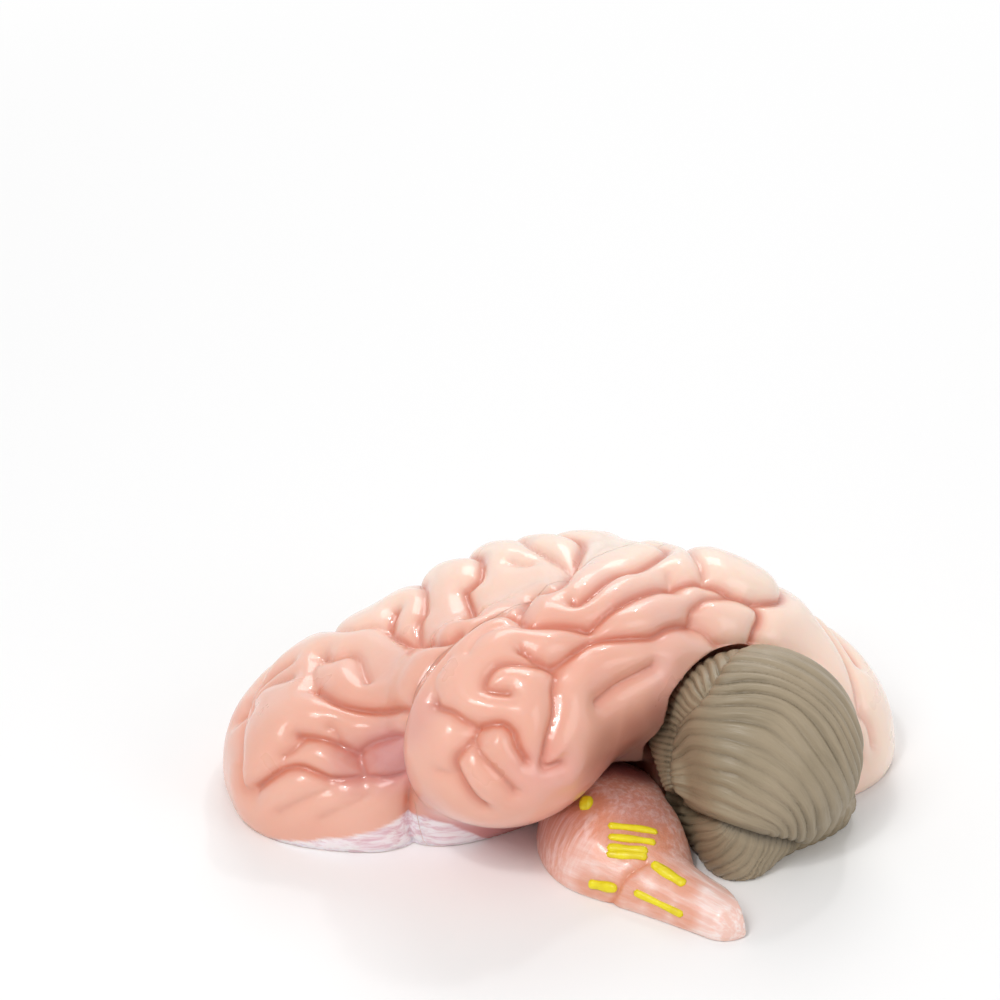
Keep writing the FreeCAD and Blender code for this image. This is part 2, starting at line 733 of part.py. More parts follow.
def room_field(cerebellum, stem):
    """Room that the lobes leave for the lower pieces, rounded where its two hollows meet."""
    gap = size("seat_gap")
    stem_gap = size("stem_gap")
    soft = size("seat_blend")

    def field(p):
        one = cerebellum(p) - gap
        other = stem(p) - stem_gap
        low = min(one, other)
        return low - soft * math.log(math.exp((low - one) / soft) + math.exp((low - other) / soft))
    return field


def clear_of(room, p):
    """A point moved out of the room that must stay free."""
    short = -room(p)
    if short <= 0.0:
        return p
    normal = slope_at(room, p)[0]
    return [p[k] + short * normal[k] for k in range(3)]


def evened(points, meshes, moving):
    """Moving points of a net drawn a little towards the middle of their neighbours."""
    beside = [set() for _ in points]
    for ring in meshes:
        for a, b in zip(ring, ring[1:] + ring[:1]):
            beside[a].add(b)
            beside[b].add(a)
    pull = size("evening")
    even = []
    for p, near, moves in zip(points, beside, moving):
        middle = [sum(points[n][k] for n in near) / max(1, len(near)) for k in range(3)]
        share = pull if moves else 0.0
        even.append([p[k] + share * (middle[k] - p[k]) for k in range(3)])
    return even


def lobes_skin(cortex, cerebellum, stem):
    """Skin of both lobes together: folded cortex, with a plain seat over the lower pieces."""
    cell = size("lobe_facet")
    room = room_field(cerebellum, stem)

    def field(p):
        return max(cortex(p), -room(p))

    low = (-82.0, -62.0, -1.5 * cell)
    high = (114.0, 82.0, 74.0)
    points, meshes = net_of(field, low, high, cell)
    points = [settle(field, p, 2) for p in points]
    for _ in range(3):
        points = evened(points, meshes, [True] * len(points))
        points = [settle(field, p, 2) for p in points]
    folds = drawn_folds(cortex)
    sinks = [0.0] * len(points)
    for n, p in enumerate(points):
        below = max(0.0, -cortex(p))
        if below < DEEPEST * size("fold_depth"):
            points[n], sinks[n] = pressed(p, slope_at(cortex, p)[0], below, folds)
    for _ in range(2):
        points = evened(points, meshes, [sink > 0.05 for sink in sinks])
    for n, sink in enumerate(sinks):
        if sink > 0.0:
            points[n] = clear_of(room, points[n])
    return points, split_meshes(meshes, sinks)


def make_lobe(name, skin, side):
    """One lobe: the common skin trimmed by the midline cut and the cut between the lobes."""
    points = [list(p) for p in skin[0]]
    planes = [MEDIAL, lobe_cut(side)]
    snap_to(points, planes, 0.22 * size("lobe_facet"))
    facets = skin[1]
    for plane in planes:
        facets = trimmed(points, facets, plane)
    return feature(name, solid_from(points, facets, planes))


def make_brainstem(field):
    """Half brainstem casting without its nerve stubs."""
    cell = size("brainstem_facet")
    points, meshes = net_of(field, (-2.0, -76.0, -1.5 * cell), (62.0, 14.0, 26.0), cell)
    points = [settle(field, p, 2) for p in points]
    snap_to(points, [MEDIAL], 0.22 * cell)
    facets = trimmed(points, split_meshes(meshes, [0.0] * len(points)), MEDIAL)
    return feature("brainstem_casting", solid_from(points, facets, [MEDIAL]))


def leaf_axis():
    """Axis that the cerebellar leaves fan about, from the collar to the vermis."""
    turn = math.radians(size("leaf_axis_turn"))
    drop = math.radians(size("leaf_axis_drop"))
    axis = Vector(math.cos(drop) * math.cos(turn), math.cos(drop) * math.sin(turn), -math.sin(drop))
    across = axis.cross(Vector(0, 0, 1)).normalize()
    return axis, across, axis.cross(across)


def make_cerebellum(field):
    """Half cerebellum: fine leaves run along meridians from the collar to the vermis."""
    centre = Vector(size("hemisphere_x"), size("hemisphere_y"),
                    size("hemisphere_z") - size("leaf_centre_drop"))
    axis, across, other = leaf_axis()
    leaves = int(round(360.0 / size("leaf_turn")))
    steps = int(size("leaf_steps"))
    depth = size("leaf_depth")
    columns = 2 * leaves

    def surface_point(direction, sink):
        low, high = 0.0, 8.0
        while field(centre + direction * high) < 0.0:
            low = high
            high += 2.0
        for _ in range(14):
            middle = 0.5 * (low + high)
            if field(centre + direction * middle) < 0.0:
                low = middle
            else:
                high = middle
        return list(centre + direction * (low - sink))

    points = [surface_point(axis * -1.0, 0.0), surface_point(axis, 0.0)]
    for row in range(1, steps):
        slant = math.pi * row / steps
        fade = math.sin(slant)
        for column in range(columns):
            turn = 2.0 * math.pi * column / columns
            around = across * math.cos(turn) + other * math.sin(turn)
            direction = around * math.sin(slant) - axis * math.cos(slant)
            sink = depth * fade if column % 2 else 0.0
            points.append(surface_point(direction, sink))

    def at(row, column):
        return 2 + (row - 1) * columns + column % columns

    facets = []
    for column in range(columns):
        facets.append((0, at(1, column + 1), at(1, column)))
        facets.append((1, at(steps - 1, column), at(steps - 1, column + 1)))
        for row in range(1, steps - 1):
            a, b = at(row, column), at(row, column + 1)
            c, d = at(row + 1, column + 1), at(row + 1, column)
            facets += [(a, b, c), (a, c, d)]
    snap_to(points, [MEDIAL], 0.4)
    facets = trimmed(points, facets, MEDIAL)
    return feature("cerebellum_casting", solid_from(points, facets, [MEDIAL]))


def rod(name, radius, height, base, direction):
    """Cylinder whose radius and height are bound to expressions of the sheet."""
    thing = doc.addObject("Part::Cylinder", name)
    thing.setExpression("Radius", radius)
    thing.setExpression("Height", height)
    thing.Placement = Placement(base, Rotation(Vector(0, 0, 1), direction))
    return thing


def join(name, shapes):
    """Union of shapes, or the one shape alone."""
    if len(shapes) == 1:
        return shapes[0]
    thing = doc.addObject("Part::MultiFuse", name)
    thing.Shapes = shapes
    return thing


def cut(name, base, tools):
    """A shape with all its holes taken out."""
    thing = doc.addObject("Part::Cut", name)
    thing.Base = base
    thing.Tool = join(name + "_tools", tools)
    return thing


def bevelled_pin(name, radius, centre, direction):
    """Steel pin, as long both ways from its centre, with bevelled ends."""
    reach = size("pin_reach")
    blank = rod(name + "_blank", radius, "sizes.pin_reach * 2", centre - direction * reach,
                direction)
    doc.recompute()
    thing = doc.addObject("Part::Chamfer", name)
    thing.Base = blank
    bevel = size("pin_bevel")
    rims = [n for n, edge in enumerate(blank.Shape.Edges, start=1)
            if edge.Closed and edge.Curve.TypeId == "Part::GeomCircle"]
    thing.Edges = [(n, bevel, bevel) for n in rims]
    return thing


def running_hole(name, radius, centre, direction):
    """Blind round hole round one half of a pin, open before the pin's centre."""
    reach = "sizes.hole_lead + sizes.pin_reach + sizes.pin_end_gap"
    return rod(name, radius, reach, centre - direction * size("hole_lead"), direction)


def press_hole(name, radius, centre, direction):
    """Blind round hole that one half of a pin fills."""
    return rod(name, radius, "sizes.pin_reach", centre, direction)


def lobe_pin_centre(which):
    """Centre of one of the two pins between the lobes, on the cut."""
    rise = math.radians(size("lobe_cut_rise"))
    along = size(which + "_pin_along")
    return Vector(size("lobe_cut_x") + along * math.cos(rise),
                  size("lobe_cut_y") + along * math.sin(rise), size(which + "_pin_z"))


def stem_pin_centre():
    """Centre of the pin between brainstem and cerebellum, on their cut."""
    fall = math.radians(size("stem_cut_fall"))
    along = size("stem_pin_along")
    return Vector(size("stem_cut_x") + along * math.cos(fall),
                  size("stem_cut_y") - along * math.sin(fall), size("stem_pin_z"))


def nerve_stub(number, stem, start, end):
    """Six-sided bar that lies half sunk along the surface of the brainstem."""
    a = Vector(*from_board(stem, *start))
    b = Vector(*from_board(stem, *end))
    thing = doc.addObject("Part::Prism", "nerve_stub_%d" % number)
    thing.Polygon = 6
    thing.setExpression("Circumradius", "sizes.stub_%d_thick / 2" % number)
    thing.Height = (b - a).Length
    middle = Vector(*settle(stem, (a + b) * 0.5))
    lift = (middle - (a + b) * 0.5) * size("stub_lift")
    thing.Placement = Placement(a + lift, Rotation(Vector(0, 0, 1), b - a))
    return thing


def build():
    """Make every piece and return them by the name of their file."""
    cortex = blend(LOBE_MASSES, size("lobe_blend"))
    cerebellum = cerebellum_field()
    stem = brainstem_field(cerebellum)
    skin = lobes_skin(cortex, cerebellum, stem)
    front = make_lobe("frontoparietal_casting", skin, 1)
    back = make_lobe("temporo_occipital_casting", skin, -1)
    stem_casting = make_brainstem(stem)
    leafy = make_cerebellum(cerebellum)

    rise = math.radians(size("lobe_cut_rise"))
    up_cut = Vector(-math.sin(rise), math.cos(rise), 0)
    stem_turn = math.radians(size("stem_pin_turn"))
    out_stem = Vector(-math.cos(stem_turn), -math.sin(stem_turn), 0)
    lean = math.radians(size("cerebellum_pin_lean"))
    up_seat = Vector(-math.sin(lean), math.cos(lean), 0)
    out = Vector(0, 0, 1)
    loose = "sizes.pin_radius + sizes.pin_clearance"
    stem_loose = "sizes.stem_pin_radius + sizes.pin_clearance"

    pins = []
    front_holes = []
    back_holes = []
    for which in ("front", "back"):
        centre = lobe_pin_centre(which)
        pins.append(bevelled_pin(which + "_lobe_pin", "sizes.pin_radius", centre, up_cut))
        front_holes.append(running_hole(which + "_running_hole", loose, centre, up_cut))
        back_holes.append(press_hole(which + "_press_hole", "sizes.pin_radius", centre,
                                     up_cut * -1.0))
    lobe_pins = doc.addObject("Part::Compound", "lobe_pins")
    lobe_pins.Links = pins

    seat = Vector(size("cerebellum_pin_x"), size("cerebellum_pin_y"), size("cerebellum_pin_z"))
    cerebellum_pin = bevelled_pin("cerebellum_pin", "sizes.pin_radius", seat, up_seat)
    back_holes.append(running_hole("cerebellum_running_hole", loose, seat, up_seat))
    stem_pin = stem_pin_centre()
    brainstem_pin = bevelled_pin("brainstem_pin", "sizes.stem_pin_radius", stem_pin, out_stem)
    leaf_holes = [
        press_hole("cerebellum_press_hole", "sizes.pin_radius", seat, up_seat * -1.0),
        press_hole("brainstem_press_hole", "sizes.stem_pin_radius", stem_pin, out_stem * -1.0),
    ]
    stem_hole = running_hole("brainstem_running_hole", stem_loose, stem_pin, out_stem)

    for which, holes in (("front", front_holes), ("back", back_holes)):
        mouth = Vector(size(which + "_socket_x"), size(which + "_socket_y"), 0)
        holes.append(rod(which + "_socket", "sizes.socket_radius", "sizes.socket_depth", mouth,
                         out))

    stubs = [nerve_stub(n, stem, *stub[:2]) for n, stub in enumerate(STUBS, start=1)]
    stem_blank = join("stem_with_stubs", [stem_casting] + stubs)
    return {
        "frontoparietal_lobe": cut("frontoparietal", front, front_holes),
        "temporo_occipital_lobe": cut("temporo_occipital", back, back_holes),
        "brainstem_half": cut("brainstem", stem_blank, [stem_hole]),
        "cerebellum_half": cut("cerebellum", leafy, leaf_holes),
        "lobe_pins": lobe_pins,
        "cerebellum_pin": cerebellum_pin,
        "brainstem_pin": brainstem_pin,
    }


def check(pieces):
    """Stop before anything is written if a step failed or a piece is not sound."""
    for thing in doc.Objects:
        if "Invalid" in thing.State or "Error" in thing.State:
            raise RuntimeError("failed: " + thing.Name)
    for name, thing in pieces.items():
        shape = thing.Shape
        if shape.isNull() or not shape.isValid() or not shape.Solids:
            raise RuntimeError("not sound: " + name)


fill_sheet()
pieces = build()
for name, thing in pieces.items():
    thing.Label = name
doc.recompute()
check(pieces)
os.makedirs("parts", exist_ok=True)
for name, thing in pieces.items():
    thing.Shape.exportStep("parts/" + name + ".step")
    print(name, "solids", len(thing.Shape.Solids), "faces", len(thing.Shape.Faces))
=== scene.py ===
"""Looks of the left half of a dissectible brain model, lying on its flat medial face.

The castings are level surfaces of blended eggs and tapered limbs, the same masses as in the CAD
model, taken on a fine net. The folds of the cortex are pressed in along drawn lines, the leaves
of the cerebellum along drawn and numbered grooves, and paint is stored on the vertices. Sizes are
in millimetres until a mesh is made, which is in metres.
"""

import math
from contextlib import contextmanager

import bmesh
import bpy
import numpy as np
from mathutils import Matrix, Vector

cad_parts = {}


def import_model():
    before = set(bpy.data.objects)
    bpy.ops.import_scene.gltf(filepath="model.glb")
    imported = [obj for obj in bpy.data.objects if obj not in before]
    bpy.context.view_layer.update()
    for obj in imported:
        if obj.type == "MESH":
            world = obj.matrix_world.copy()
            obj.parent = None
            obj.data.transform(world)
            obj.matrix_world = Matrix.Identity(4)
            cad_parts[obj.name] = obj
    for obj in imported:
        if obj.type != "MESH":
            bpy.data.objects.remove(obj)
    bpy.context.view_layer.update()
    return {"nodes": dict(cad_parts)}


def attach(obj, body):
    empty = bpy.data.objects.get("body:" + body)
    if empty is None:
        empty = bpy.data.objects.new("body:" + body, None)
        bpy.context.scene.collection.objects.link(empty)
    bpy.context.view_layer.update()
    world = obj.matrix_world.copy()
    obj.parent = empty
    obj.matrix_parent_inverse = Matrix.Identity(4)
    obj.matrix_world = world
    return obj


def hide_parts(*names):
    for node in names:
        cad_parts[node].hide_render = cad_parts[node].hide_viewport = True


MM = 0.001

# Numbers that keep a division safe, and one beyond every distance
TINY = 1e-9
TINIEST = 1e-12
FAR_OFF = 1e9

# Eggs: centre x, y, z, then half length, half height and half width
EGGS = {
    "frontal": (-22, 19, 4, 45, 37, 35),
    "orbital": (-34, 0, 11, 29, 16, 24),
    "parietal": (20, 32, 6, 55, 37, 49),
    "crown": (58, 24, 5, 38, 31, 36),
    "temple": (-2, -17, 34, 25, 28.5, 23.5),
    "cheek": (42, 14, 32, 38, 22, 26),
    "occiput": (74, 13, 3, 30, 25, 30),
    "hemisphere": (61, -20, 23, 26.5, 25, 26),
    "vermis": (63, -16, 2, 25, 14, 16),
    "pons": (21, -25, 0, 13.5, 19, 16.5),
    "tegmentum": (32, -22, 0, 13, 22, 13),
}

# Tapered limbs: both ends, then the radius at each
LIMBS = {
    "temple_limb": (8, -12, 37, 26, -3, 42, 20, 17),
    "cheek_limb": (26, -3, 42, 50, 12, 38, 17, 17),
    "tonsil": (54, -34, 4, 50, -32, 16, 9, 10),
    "collar": (41, -3, 23, 42, -24, 19, 5.5, 5.5),
    "medulla": (31, -42, 0, 46.5, -58.5, 0, 10, 7.5),
    "midbrain": (24, -8, 0, 28, -24, 0, 13, 13),
}

LOBE_MASSES = ("frontal", "orbital", "parietal", "crown", "temple", "cheek", "occiput",
               "temple_limb", "cheek_limb")
CEREBELLUM_MASSES = ("hemisphere", "vermis", "tonsil")
BRAINSTEM_MASSES = ("pons", "tegmentum", "medulla", "midbrain")
LOBE_SOFTNESS = 5.0
CEREBELLUM_SOFTNESS = 3.0
COLLAR_SOFTNESS = 1.5
BRAINSTEM_SOFTNESS = 3.0

# The two slanting cuts: a point and the direction each one runs in, in degrees
LOBE_CUT_POINT = (-20.0, -18.0, 0.0)
LOBE_CUT_RISE = 35.6
STEM_CUT_POINT = (35.0, 0.0, 0.0)
STEM_CUT_FALL = 76.0

# Gaps: between trimmed castings, at the collar, and in the lobes' seats
SEAM = 0.3
COLLAR_GAP = 0.9
SEAT_GAP = 0.4
STEM_GAP = 1.4
ROOM_SOFTNESS = 2.0

# Folds: full depth, reach to each side, the deepest place as a multiple of full depth, and the
# steepest place of a fold's side as a share of upright
FOLD_DEPTH = 4.2
FOLD_REACH = 7.0
DEEPEST = 1.5
STEEPEST = 0.98
OWN_SIDE_FADE = 3.0
FISSURE_SHARE = 1.3
FISSURE_END_X = 2.0
FISSURE_FADE = 8.0
SEAM_DEPTH = 0.3
SEAM_REACH = 0.9
SHOWN_SEAM = 0.1
RIM_ROUND = 1.0
LOWER_RIM_ROUND = 0.6
# Reach of the painted shade beside a crease
CREASE_SHADE_REACH = 3.0
CREASE_ROUND = 0.5
CREST_FROM = 50.0
CREST_KEEP = 0.98
# Depth inside the cortex at which the painted shade of the hollows is full
SEAT_SHADE_DEPTH = 2.0

# The photograph's eye, how its view turns and tilts, its lens, and how far it sees in metres
EYE = np.array((-78.0, -633.0, 414.0))
EYE_TURN = 7.11
EYE_TILT = 27.28
LENS = 108.6
SENSOR = 36.0
SEEN_FROM = 0.01
SEEN_TO = 20.0
BOARD_UNIT = 1.003

# Rays that carry drawn points to a surface: where they start, how long they are, how many steps
# they take, how near is close, the share of the distance that a step takes, and its least length
BEFORE_BOARD = 120.0
RAY_LENGTH = 200.0
PLAN_HEIGHT = 90.0
RAY_STEPS = 400
RAY_CLOSE = 0.02
RAY_SHARE = 0.6
RAY_LEAST = 0.05

# The least growth that a field is taken to have, and how loosely numbered lines are followed
LEAST_RATE = 0.2
LINE_EASE = 0.3

# Folds drawn on a board through the origin, square to the view: (share of depth, points).
# The board's first number runs backwards, its second up and away.
BOARD_FOLDS = {
    "frontal_low": (1.0, ((-46.1, 30), (-44.5, 28.8), (-40.5, 26), (-35.3, 24), (-30.1, 23.2),
        (-23.3, 23.6))),
    "frontal_loop": (0.8, ((-44.1, 38.2), (-41.3, 37), (-36.9, 38), (-34.5, 36.8), (-33.3, 33.6),
        (-32.5, 31.3))),
    "frontal_loop_end": (0.6, ((-44.1, 38.2), (-46.4, 34), (-46.1, 30))),
    "frontal_bay": (1.0, ((-25.8, 49.1), (-27.3, 45.1), (-25.8, 43.2), (-23, 41.8), (-18.6, 40.8),
        (-14.2, 41.6), (-10.2, 44.3))),
    "frontal_pole": (0.7, ((-52.1, 32), (-58, 30), (-62, 25.3), (-62.4, 22.8))),
    "orbital_top": (1.0, ((-50.5, 16.8), (-46.1, 16.2), (-42.1, 15.2), (-38.9, 13.6), (-34.9, 10.9))),
    "orbital_front": (0.8, ((-54.1, 11.5), (-51.7, 13.2), (-49.3, 15.8))),
    "orbital_branch": (0.7, ((-42.1, 19.2), (-40.5, 18), (-39.7, 14))),
    "orbital_low": (1.0, ((-61.6, 2.5), (-55.3, 6.9), (-52.1, 8.1), (-48.5, 7.9), (-44.5, 6.1),
        (-41.3, 4.9), (-34.1, 4.9))),
    "orbital_island": (1.0, ((-34.9, 11.3), (-33.3, 13.3), (-30.9, 14.8), (-26.9, 15.8),
        (-21.8, 15.6))),
    "orbital_island_low": (1.0, ((-34.9, 10.9), (-34.1, 7.7), (-32.9, 5.3), (-30.1, 4.9), (-26.6, 4.7),
        (-23, 5.7), (-19.8, 7.7))),
    "orbital_streak": (0.5, ((-54.9, -3.5), (-48.5, -0.3), (-42.1, 2.5))),
    "orbital_line": (0.4, ((-43.7, -4.7), (-37.3, -1.9), (-32.1, 0.9))),
    "temple_front": (0.9, ((-16.8, 25.3), (-15.6, 24.1), (-12.1, 22.9), (-9.4, 21), (-5.5, 18.6))),
    "temple_arch": (1.0, ((-5.5, 18.6), (-3.1, 19.4), (0, 19.8), (2.4, 19.4), (4.7, 17.1), (5.9, 13.6),
        (8.2, 9.7))),
    "temple_fork": (0.9, ((-6.3, 18.3), (-6.7, 15.5), (-9.8, 12), (-11.3, 9.7), (-10.6, 6.1),
        (-8.2, 2.3), (-5.5, -0.9), (-3.1, -2.5))),
    "temple_line": (0.8, ((-6.7, 15), (-4.7, 11.6), (-1.6, 8.1), (1.6, 5), (4.7, 1.4))),
    "temple_corner": (0.5, ((-15.3, 6.9), (-11.3, 5.6))),
    "temple_hook": (0.9, ((3.1, 28), (-1.6, 28.6), (-3.1, 29.6), (-2.4, 32.7), (0.4, 35.4), (5.5, 36.2),
        (11.7, 35.8), (16, 34.7))),
    "temple_inner": (0.9, ((16.4, 35), (16, 31.9), (15.3, 28), (15.6, 24.9), (15.3, 21), (14, 16.3),
        (13.3, 12.4), (12.9, 8.1), (17.2, 8.9))),
    "temporal_upper": (1.0, ((6.3, 39.5), (8.2, 38.6), (11, 37), (16.4, 35.8), (21.9, 39.3),
        (25.8, 41.3), (35.5, 41.5), (40.6, 41.8), (44.7, 44), (50.8, 44.9))),
    "temporal_under": (0.8, ((26.3, 25.1), (30.9, 28.8), (35.5, 31.2), (40.1, 33.5))),
    "temple_crown": (0.4, ((-7.3, 38.4), (-5.4, 41.5), (-2.3, 43.8), (2.3, 45.3), (6.1, 45.9))),
    "temple_side": (0.4, ((-16.8, 25.3), (-16.4, 30), (-15.6, 32.3), (-12.5, 37))),
    "fissure_back": (1.1, ((-6.5, 47.6), (-3.5, 48.4), (0.8, 48.6), (5.3, 48.4), (8.4, 46.1),
        (14.5, 45.8), (19.5, 45.3), (23.7, 44.9))),
    "precentral_step": (0.6, ((3.4, 61), (5.6, 60.4), (8.2, 60.6))),
    "postcentral_end": (0.6, ((43.4, 58.6), (44.8, 55.7))),
    "supramarginal": (1.0, ((23.7, 45), (26.3, 46.9), (29.8, 49.7), (36.4, 53.2), (44.8, 55.7))),
    "island_front": (0.9, ((50.8, 44.9), (50.3, 48.3), (52.2, 50.6), (54.5, 52), (60.5, 52.9))),
    "island_back": (1.0, ((66.2, 50.6), (67.4, 48.3), (67.2, 45.6), (66, 42.8), (65.3, 38.4))),
    "island_low": (0.8, ((50.8, 44.9), (53.5, 42.5), (55.9, 39.4), (59.6, 37.6), (65.3, 37.2))),
    "occipital_lip": (0.9, ((66.5, 36.8), (70.7, 35.8), (77.1, 33.5), (81.8, 28.9), (85.9, 25),
        (89.1, 20.5), (91, 15.9), (91.8, 10))),
}

# Folds on the side that the board doesn't show, as x, y seen square on to the midline cut
PLAN_FOLDS = {
    "upper_frontal": (1.0, ((-58, 30), (-48, 38), (-36, 45), (-24, 49), (-10, 53), (0, 57))),
    "intraparietal": (1.0, ((42, 51), (52, 50), (62, 47), (70, 41))),
    "parieto_occipital": (1.0, ((70, 64), (66, 58), (70, 49), (76, 44))),
    "occipital_back": (1.0, ((77, 42), (84, 33), (90, 24), (95, 13))),
    "occipital_branch": (0.8, ((84, 33), (93, 35), (100, 38))),
    "pole_line": (0.8, ((-64, 20), (-58, 24), (-50, 23))),
    "frontal_rung_1": (0.8, ((-57, 54), (-51, 46), (-46, 39))),
    "frontal_rung_2": (0.8, ((-34, 66), (-30, 57), (-28, 48))),
    "frontal_rung_3": (0.8, ((-16, 72), (-14, 62), (-12, 53))),
}

# Folds that run over the top from one side to the other: board points, then x, y points
OVER_FOLDS = {
    "frontal_upper": (0.7, ((-27.3, 45.1), (-31, 45.3), (-36.9, 44.2)), ((-38, 36), (-36, 45))),
    "frontal_bay_side": (0.9, ((-20.2, 41.5), (-19.9, 46), (-18.6, 49)), ((-15, 35), (-16, 42),
        (-13, 50))),
    "precentral": (1.0, ((-6.6, 47.6), (-8.1, 52.3), (-6.9, 54.9), (-4.6, 57.6)), ((0, 37), (-3, 46),
        (-2, 53), (3, 58), (4, 66), (5, 74))),
    "precentral_cap": (0.8, ((18, 59.5), (15.5, 61.2)), ((13, 35), (12, 42), (9, 52), (12, 66),
        (13, 75))),
    "central": (1.0, ((5.3, 48.4), (6.1, 50.3), (8.4, 52.6), (14.9, 54.9), (18, 59.5)), ((26, 32),
        (24, 40), (19, 49), (22, 56), (24, 62), (29, 70), (31, 76))),
    "postcentral": (1.0, ((18.8, 51.8), (20.3, 51.3), (24.1, 54.3), (29.8, 58.5), (36, 60)), ((45, 19),
        (44, 28), (40, 38), (42, 52), (40, 60), (43, 68), (46, 74))),
    "parietal_rung": (0.8, ((53.1, 56.4), (52.4, 58.3)), ((52, 18), (52, 34), (56, 50), (53, 57),
        (55, 64), (59, 72))),
    "angular": (1.0, ((44.8, 55.7), (48.5, 56.4), (52.2, 56.4), (55.9, 55.2), (60.5, 52.9),
        (66.2, 50.8)), ((74, 10), (76, 20), (72, 30), (70, 41))),
    "occipital_edge": (0.7, ((95.5, 14), (94.3, 19.5), (91.9, 23.8)), ((90, 12), (84, 22), (84, 33))),
    "pole_edge": (0.7, ((-62.4, 1.8), (-64.7, 3.2), (-65.2, 7.7), (-64.9, 12.7)), ((-62, 23),
        (-58, 30))),
}

# Nerve stubs drawn on the board: both ends, thickness, and how many strands lie side by side
STUBS = (
    ((20.8, -0.5), (24.2, -0.5), 5.0, 1),
    ((27.8, -6), (40.5, -7.8), 1.9, 1),
    ((27.8, -8.7), (40, -10.5), 2.0, 1),
    ((27.5, -12.2), (38, -13.2), 3.2, 2),
    ((23, -20.5), (30.3, -21.8), 2.5, 1),
    ((38.8, -15.3), (47.3, -20.8), 2.6, 1),
    ((34.3, -22.5), (46.8, -28.5), 1.7, 1),
)

# Leaves of the cerebellum: depth, the share of finer ones, how dark the painted shade in the
# grooves is, and the scale of the fine lines across and along them and from one region to the next
LEAF_DEPTH = 1.15
LEAF_STRENGTH = 0.75
FINER_SHARE = 0.16
FINER_SHIFT = 0.3
LEAF_GROOVE_SHADE = 0.75
LINES_ACROSS = 2.6
LINES_ALONG = 0.06
LINES_APART = 7.0

# How much the collar and the lower lobule lie back, how far each step reaches, and how much
# shallower their leaves are
COLLAR_SHALLOWER = 0.3
LOBULE_SHALLOWER = 0.25
COLLAR_STEP = 0.7
EDGE_GROOVE = 1.2
EDGE_REACH = 3.0
EDGE_SPREAD = 5.5
# Painted shadow beside the collar's edge: its reach, the height it stops at, and its darkness
EDGE_SHADOW = 2.5
EDGE_SHADOW_Z = 30.0
EDGE_SHADOW_DARKNESS = 0.6
LOBULE_STEP = 1.2
LOBULE_RISE = 12.0
LOBULE_FADE = 1.2
LOBULE_TOP_Y = -14.0
SHOULDER = 2.2

# Grooves of the hemisphere as drawn on the board, each with its number in the row
DOME_LEAVES = (
    (-4, ((57.8, 35.7), (66.1, 35.2), (74.4, 32), (80.4, 28.3), (85.5, 23.7), (89.2, 17.2), (91.5, 9.8),
        (92.1, 2.9))),
    (-2, ((55.9, 29.7), (61.5, 30.6), (68.9, 29.7), (75.4, 26.9), (80.9, 22.8), (85.1, 17.7),
        (88.3, 10.7), (90.1, 3.8), (90.1, -1.3), (87.8, -5.4))),
    (0, ((53.6, 23.9), (59.6, 24.2), (66.1, 23.5), (72.1, 21.4), (76.7, 17.2), (80.4, 12.6),
        (83.7, 7.5), (86, 2.4), (86.9, -2.2), (85.5, -6.4))),
    (2, ((47.6, 16.3), (52.2, 16.5), (56.9, 15.8), (61.5, 14.4), (66.1, 13.3), (70.7, 11.2), (74.4, 8),
        (77.2, 4.3), (79.1, 0.6), (80.4, -3.1), (80.4, -6.8))),
    (3, ((44.8, 11.2), (49.9, 12.8), (54.6, 12.1), (59.6, 10.7), (63.8, 8.9), (67, 7.7), (70.7, 5.2),
        (74, 1.5), (76.5, -2.7), (77.7, -5.4))),
    (4, ((43.7, 7.5), (49, 8.9), (54.6, 7.7), (59.6, 6.8), (63.3, 5), (68, 2.4), (71.7, -0.4),
        (74.4, -3.1), (75.6, -5.9))),
    (5, ((43.7, 6.1), (49, 5.7), (53.6, 4.7), (57.8, 3.3), (62.4, 0.8), (67, -1.7), (70.7, -4.5),
        (73, -6.8))),
    (7, ((45.3, -0.4), (51.3, -2.7), (57.8, -5), (63.3, -6.8), (68.9, -8.2))),
)

# Grooves of the hemisphere behind the board's view, as x, y, z
FAR_LEAVES = (
    (-8, ((60, 4, 42), (72, 4, 38), (82, -2, 28), (86, -10, 17), (86, -14, 6), (85, -18, 0))),
    (-12, ((66, 5, 32), (80, 4, 20), (85, -2, 8), (84, -6, 0))),
)

# Short grooves of the collar beside the brainstem
COLLAR_LEAVES = (
    (0, ((52.2, 35.2), (53.2, 30.2), (52.2, 27.4))),
    (2, ((47.6, 31.5), (49.5, 28.8), (50.9, 26.5))),
    (4, ((43.9, 28.8), (47.6, 23.2))),
    (6, ((40.7, 26.5), (45.3, 20.5))),
    (8, ((37.4, 22.8), (43.7, 18.1))),
    (10, ((35.6, 18.6), (43.2, 15.6))),
    (12, ((35.1, 14.4), (43, 13.5))),
    (14, ((36.5, 9.8), (42.8, 10.7))),
    (16, ((37.2, 6.1), (42.8, 8))),
    (18, ((37.9, 2.9), (43.2, 5.2))),
    (20, ((39.3, -0.4), (43.9, 2))),
    (22, ((41.1, -2.7), (44.8, -0.8))),
)

# Grooves of the lower lobule
LOBULE_LEAVES = (
    (0, ((41.1, -3.6), (45.8, -4.5), (49.5, -3.8))),
    (2, ((42.1, -9.1), (49, -8.2), (55.5, -6.6))),
    (4, ((47.2, -14), (52.2, -12.8), (55.9, -10.5), (58.7, -8.4))),
    (6, ((52.2, -17.5), (56.9, -16.1), (61.5, -13.3), (63.8, -9.6))),
    (8, ((59.6, -20.2), (63.8, -18.4), (67, -14.2), (68.2, -10.8))),
    (9.5, ((66.1, -16.5), (68.4, -14.2), (70.3, -11.4))),
)

